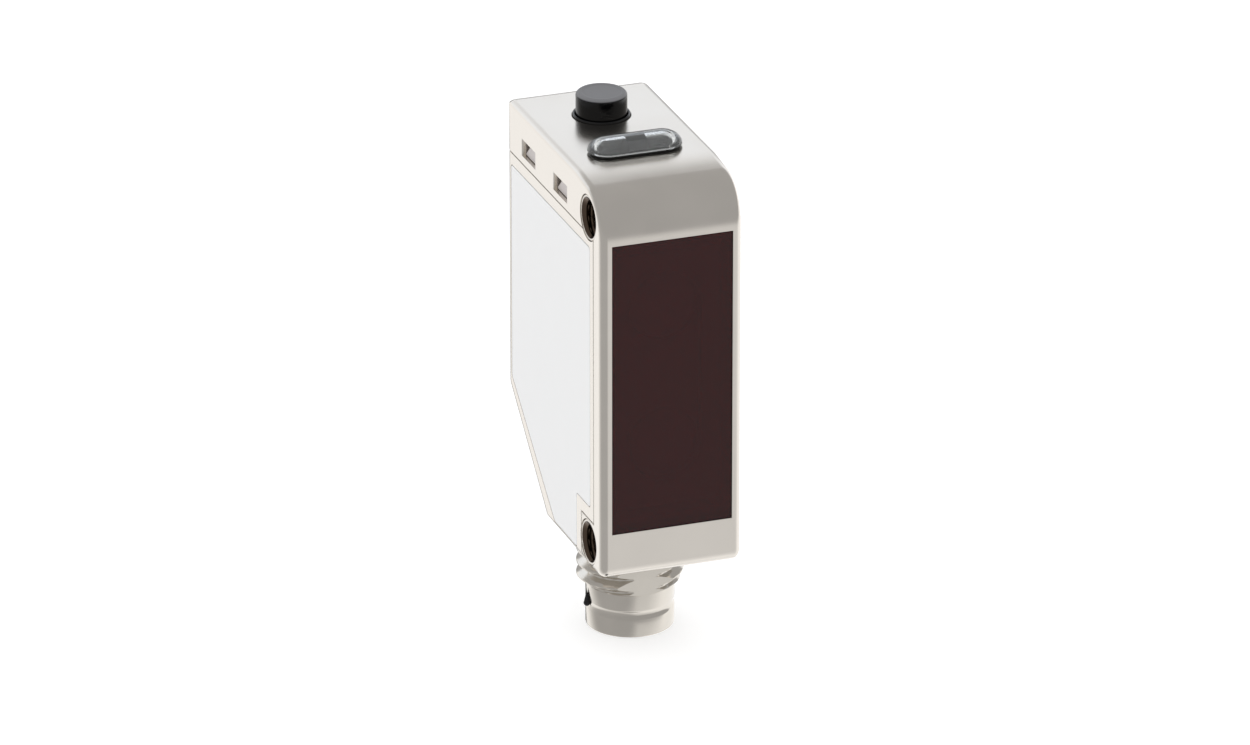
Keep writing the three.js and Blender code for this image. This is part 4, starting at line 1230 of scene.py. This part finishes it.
def light_tent():
    """White tent whose walls metal mirrors as soft greys. It lights matt pieces evenly, and looks white."""
    world = bpy.data.worlds.new("light_tent")
    world.use_nodes = True
    tree = world.node_tree
    background = tree.nodes["Background"]
    way = node(tree, "ShaderNodeTexCoord").outputs["Generated"]
    axes = node(tree, "ShaderNodeSeparateXYZ", {"Vector": way}).outputs
    # the wall on the left is grey, and the one in front is a little grey
    leftwards = sums(tree, "MULTIPLY_ADD", axes["X"], -0.906, sums(tree, "MULTIPLY", axes["Y"], -0.423))
    left = faded(tree, leftwards, -0.1, 0.7, 1.22, 0.48)
    front = faded(tree, axes["Y"], -0.1, -0.95, 1.16, 0.76)
    # a grey canopy hangs over the front half and ends behind in a bright seam
    height = sums(tree, "MULTIPLY_ADD", axes["Y"], -0.62, axes["Z"])
    seam = faded(tree, height, -0.12, -0.06, 1.0, 1.35)
    canopy = sums(tree, "MULTIPLY", faded(tree, height, -0.06, 0.02, 1.22, 0.33), seam)
    below = faded(tree, axes["Z"], -0.1, -0.3, 0.0, 1.0)
    wall = node(tree, "ShaderNodeMix", {"Factor": below, 2: canopy, 3: front}).outputs[0]
    tent = sums(tree, "MINIMUM", left, wall)
    # the backdrop straight behind is in shade, and so is the table straight below
    sideways = faded(tree, axes["X"], -0.2, -0.1, 0.0, 1.0)
    low = faded(tree, axes["Z"], 0.28, 0.16, 0.0, 1.0)
    behind = faded(tree, axes["Y"], 0.8, 0.88, 0.0, 1.0)
    shade = sums(tree, "MULTIPLY", sums(tree, "MULTIPLY", sideways, low), behind)
    tent = sums(tree, "MULTIPLY", tent, faded(tree, shade, 0.0, 1.0, 1.0, 0.35))
    tent = sums(tree, "MINIMUM", tent, faded(tree, axes["Z"], -0.94, -0.985, 1.2, 0.05))
    paths = node(tree, "ShaderNodeLightPath").outputs
    lit = node(tree, "ShaderNodeMix", {"Factor": paths["Is Diffuse Ray"], 2: tent, 3: 0.77}).outputs[0]
    level = node(tree, "ShaderNodeMix", {"Factor": paths["Is Camera Ray"], 2: lit, 3: 1.0}).outputs[0]
    tree.links.new(level, background.inputs["Strength"])
    # its far side is a little cooler
    upper = faded(tree, axes["Z"], 0.1, 0.3, 0.0, 1.0)
    cool = sums(tree, "MULTIPLY", upper, faded(tree, height, 0.0, -0.1, 0.0, 1.0))
    tint = node(tree, "ShaderNodeMix", {
        "Factor": cool, 6: (1, 1, 1, 1), 7: (0.93, 0.98, 1.05, 1),
    }, data_type="RGBA").outputs[2]
    tree.links.new(tint, background.inputs["Color"])
    bpy.context.scene.world = world


def glowing_floor():
    """A lit white acrylic table."""
    reach = 2000
    corners = [(-reach, -reach), (reach, -reach), (reach, reach), (-reach, reach)]
    floor = temporary(prism(corners, -2, 0, "plan"))
    floor.name = "floor"
    floor.data.transform(Matrix.Scale(MM, 4))
    white = surfaced(
        "lit_acrylic_table", colours().floor, (0.99, 1.0), 80, (0.8, 0.9), 2, 0.002,
        Emission_Color=(1, 1, 1, 1), Emission_Strength=0.5,
    )[0]
    floor.data.materials.append(white)
    floor.visible_glossy = False


class SENSOR_OT_stage(bpy.types.Operator):
    """Builds the floor, the lights and the camera"""

    bl_idname = "sensor.stage"
    bl_label = "Stage"

    def execute(self, context):
        scene = context.scene
        scene.view_settings.view_transform = "Standard"
        light_tent()
        glowing_floor()
        lens = bpy.data.cameras.new("camera")
        lens.lens = 290
        lens.sensor_width = 36
        lens.clip_start, lens.clip_end = 0.05, 10
        camera = bpy.data.objects.new("camera", lens)
        scene.collection.objects.link(camera)
        target = Vector((0.00016, 0, 0.01913))
        camera.location = target + direction(-19.85, 23.16) * 0.7345
        aim(camera, target)
        scene.camera = camera
        return {"FINISHED"}


# ---------------------------------------------------------------- panel and registration

class SENSOR_PT_panel(bpy.types.Panel):
    """Lists the builders of the sensor's pieces"""

    bl_label = "Photoelectric Sensor"
    bl_space_type = "VIEW_3D"
    bl_region_type = "UI"
    bl_category = "Sensor"

    def draw(self, context):
        for builder in BUILDERS:
            self.layout.operator(builder.bl_idname)


BUILDERS = [
    SENSOR_OT_housing, SENSOR_OT_optics, SENSOR_OT_indicator, SENSOR_OT_button,
    SENSOR_OT_connector, SENSOR_OT_inner_pieces, SENSOR_OT_stage,
]
CLASSES = [SensorSizes, SensorColours, *BUILDERS, SENSOR_PT_panel]


def register():
    for item in CLASSES:
        bpy.utils.register_class(item)
    bpy.types.Scene.sensor_sizes = bpy.props.PointerProperty(type=SensorSizes)
    bpy.types.Scene.sensor_colours = bpy.props.PointerProperty(type=SensorColours)


def unregister():
    del bpy.types.Scene.sensor_sizes
    del bpy.types.Scene.sensor_colours
    for item in reversed(CLASSES):
        bpy.utils.unregister_class(item)


def main():
    register()
    for builder in BUILDERS:
        group, name = builder.bl_idname.split(".")
        getattr(getattr(bpy.ops, group), name)()


if __name__ == "__main__":
    main()
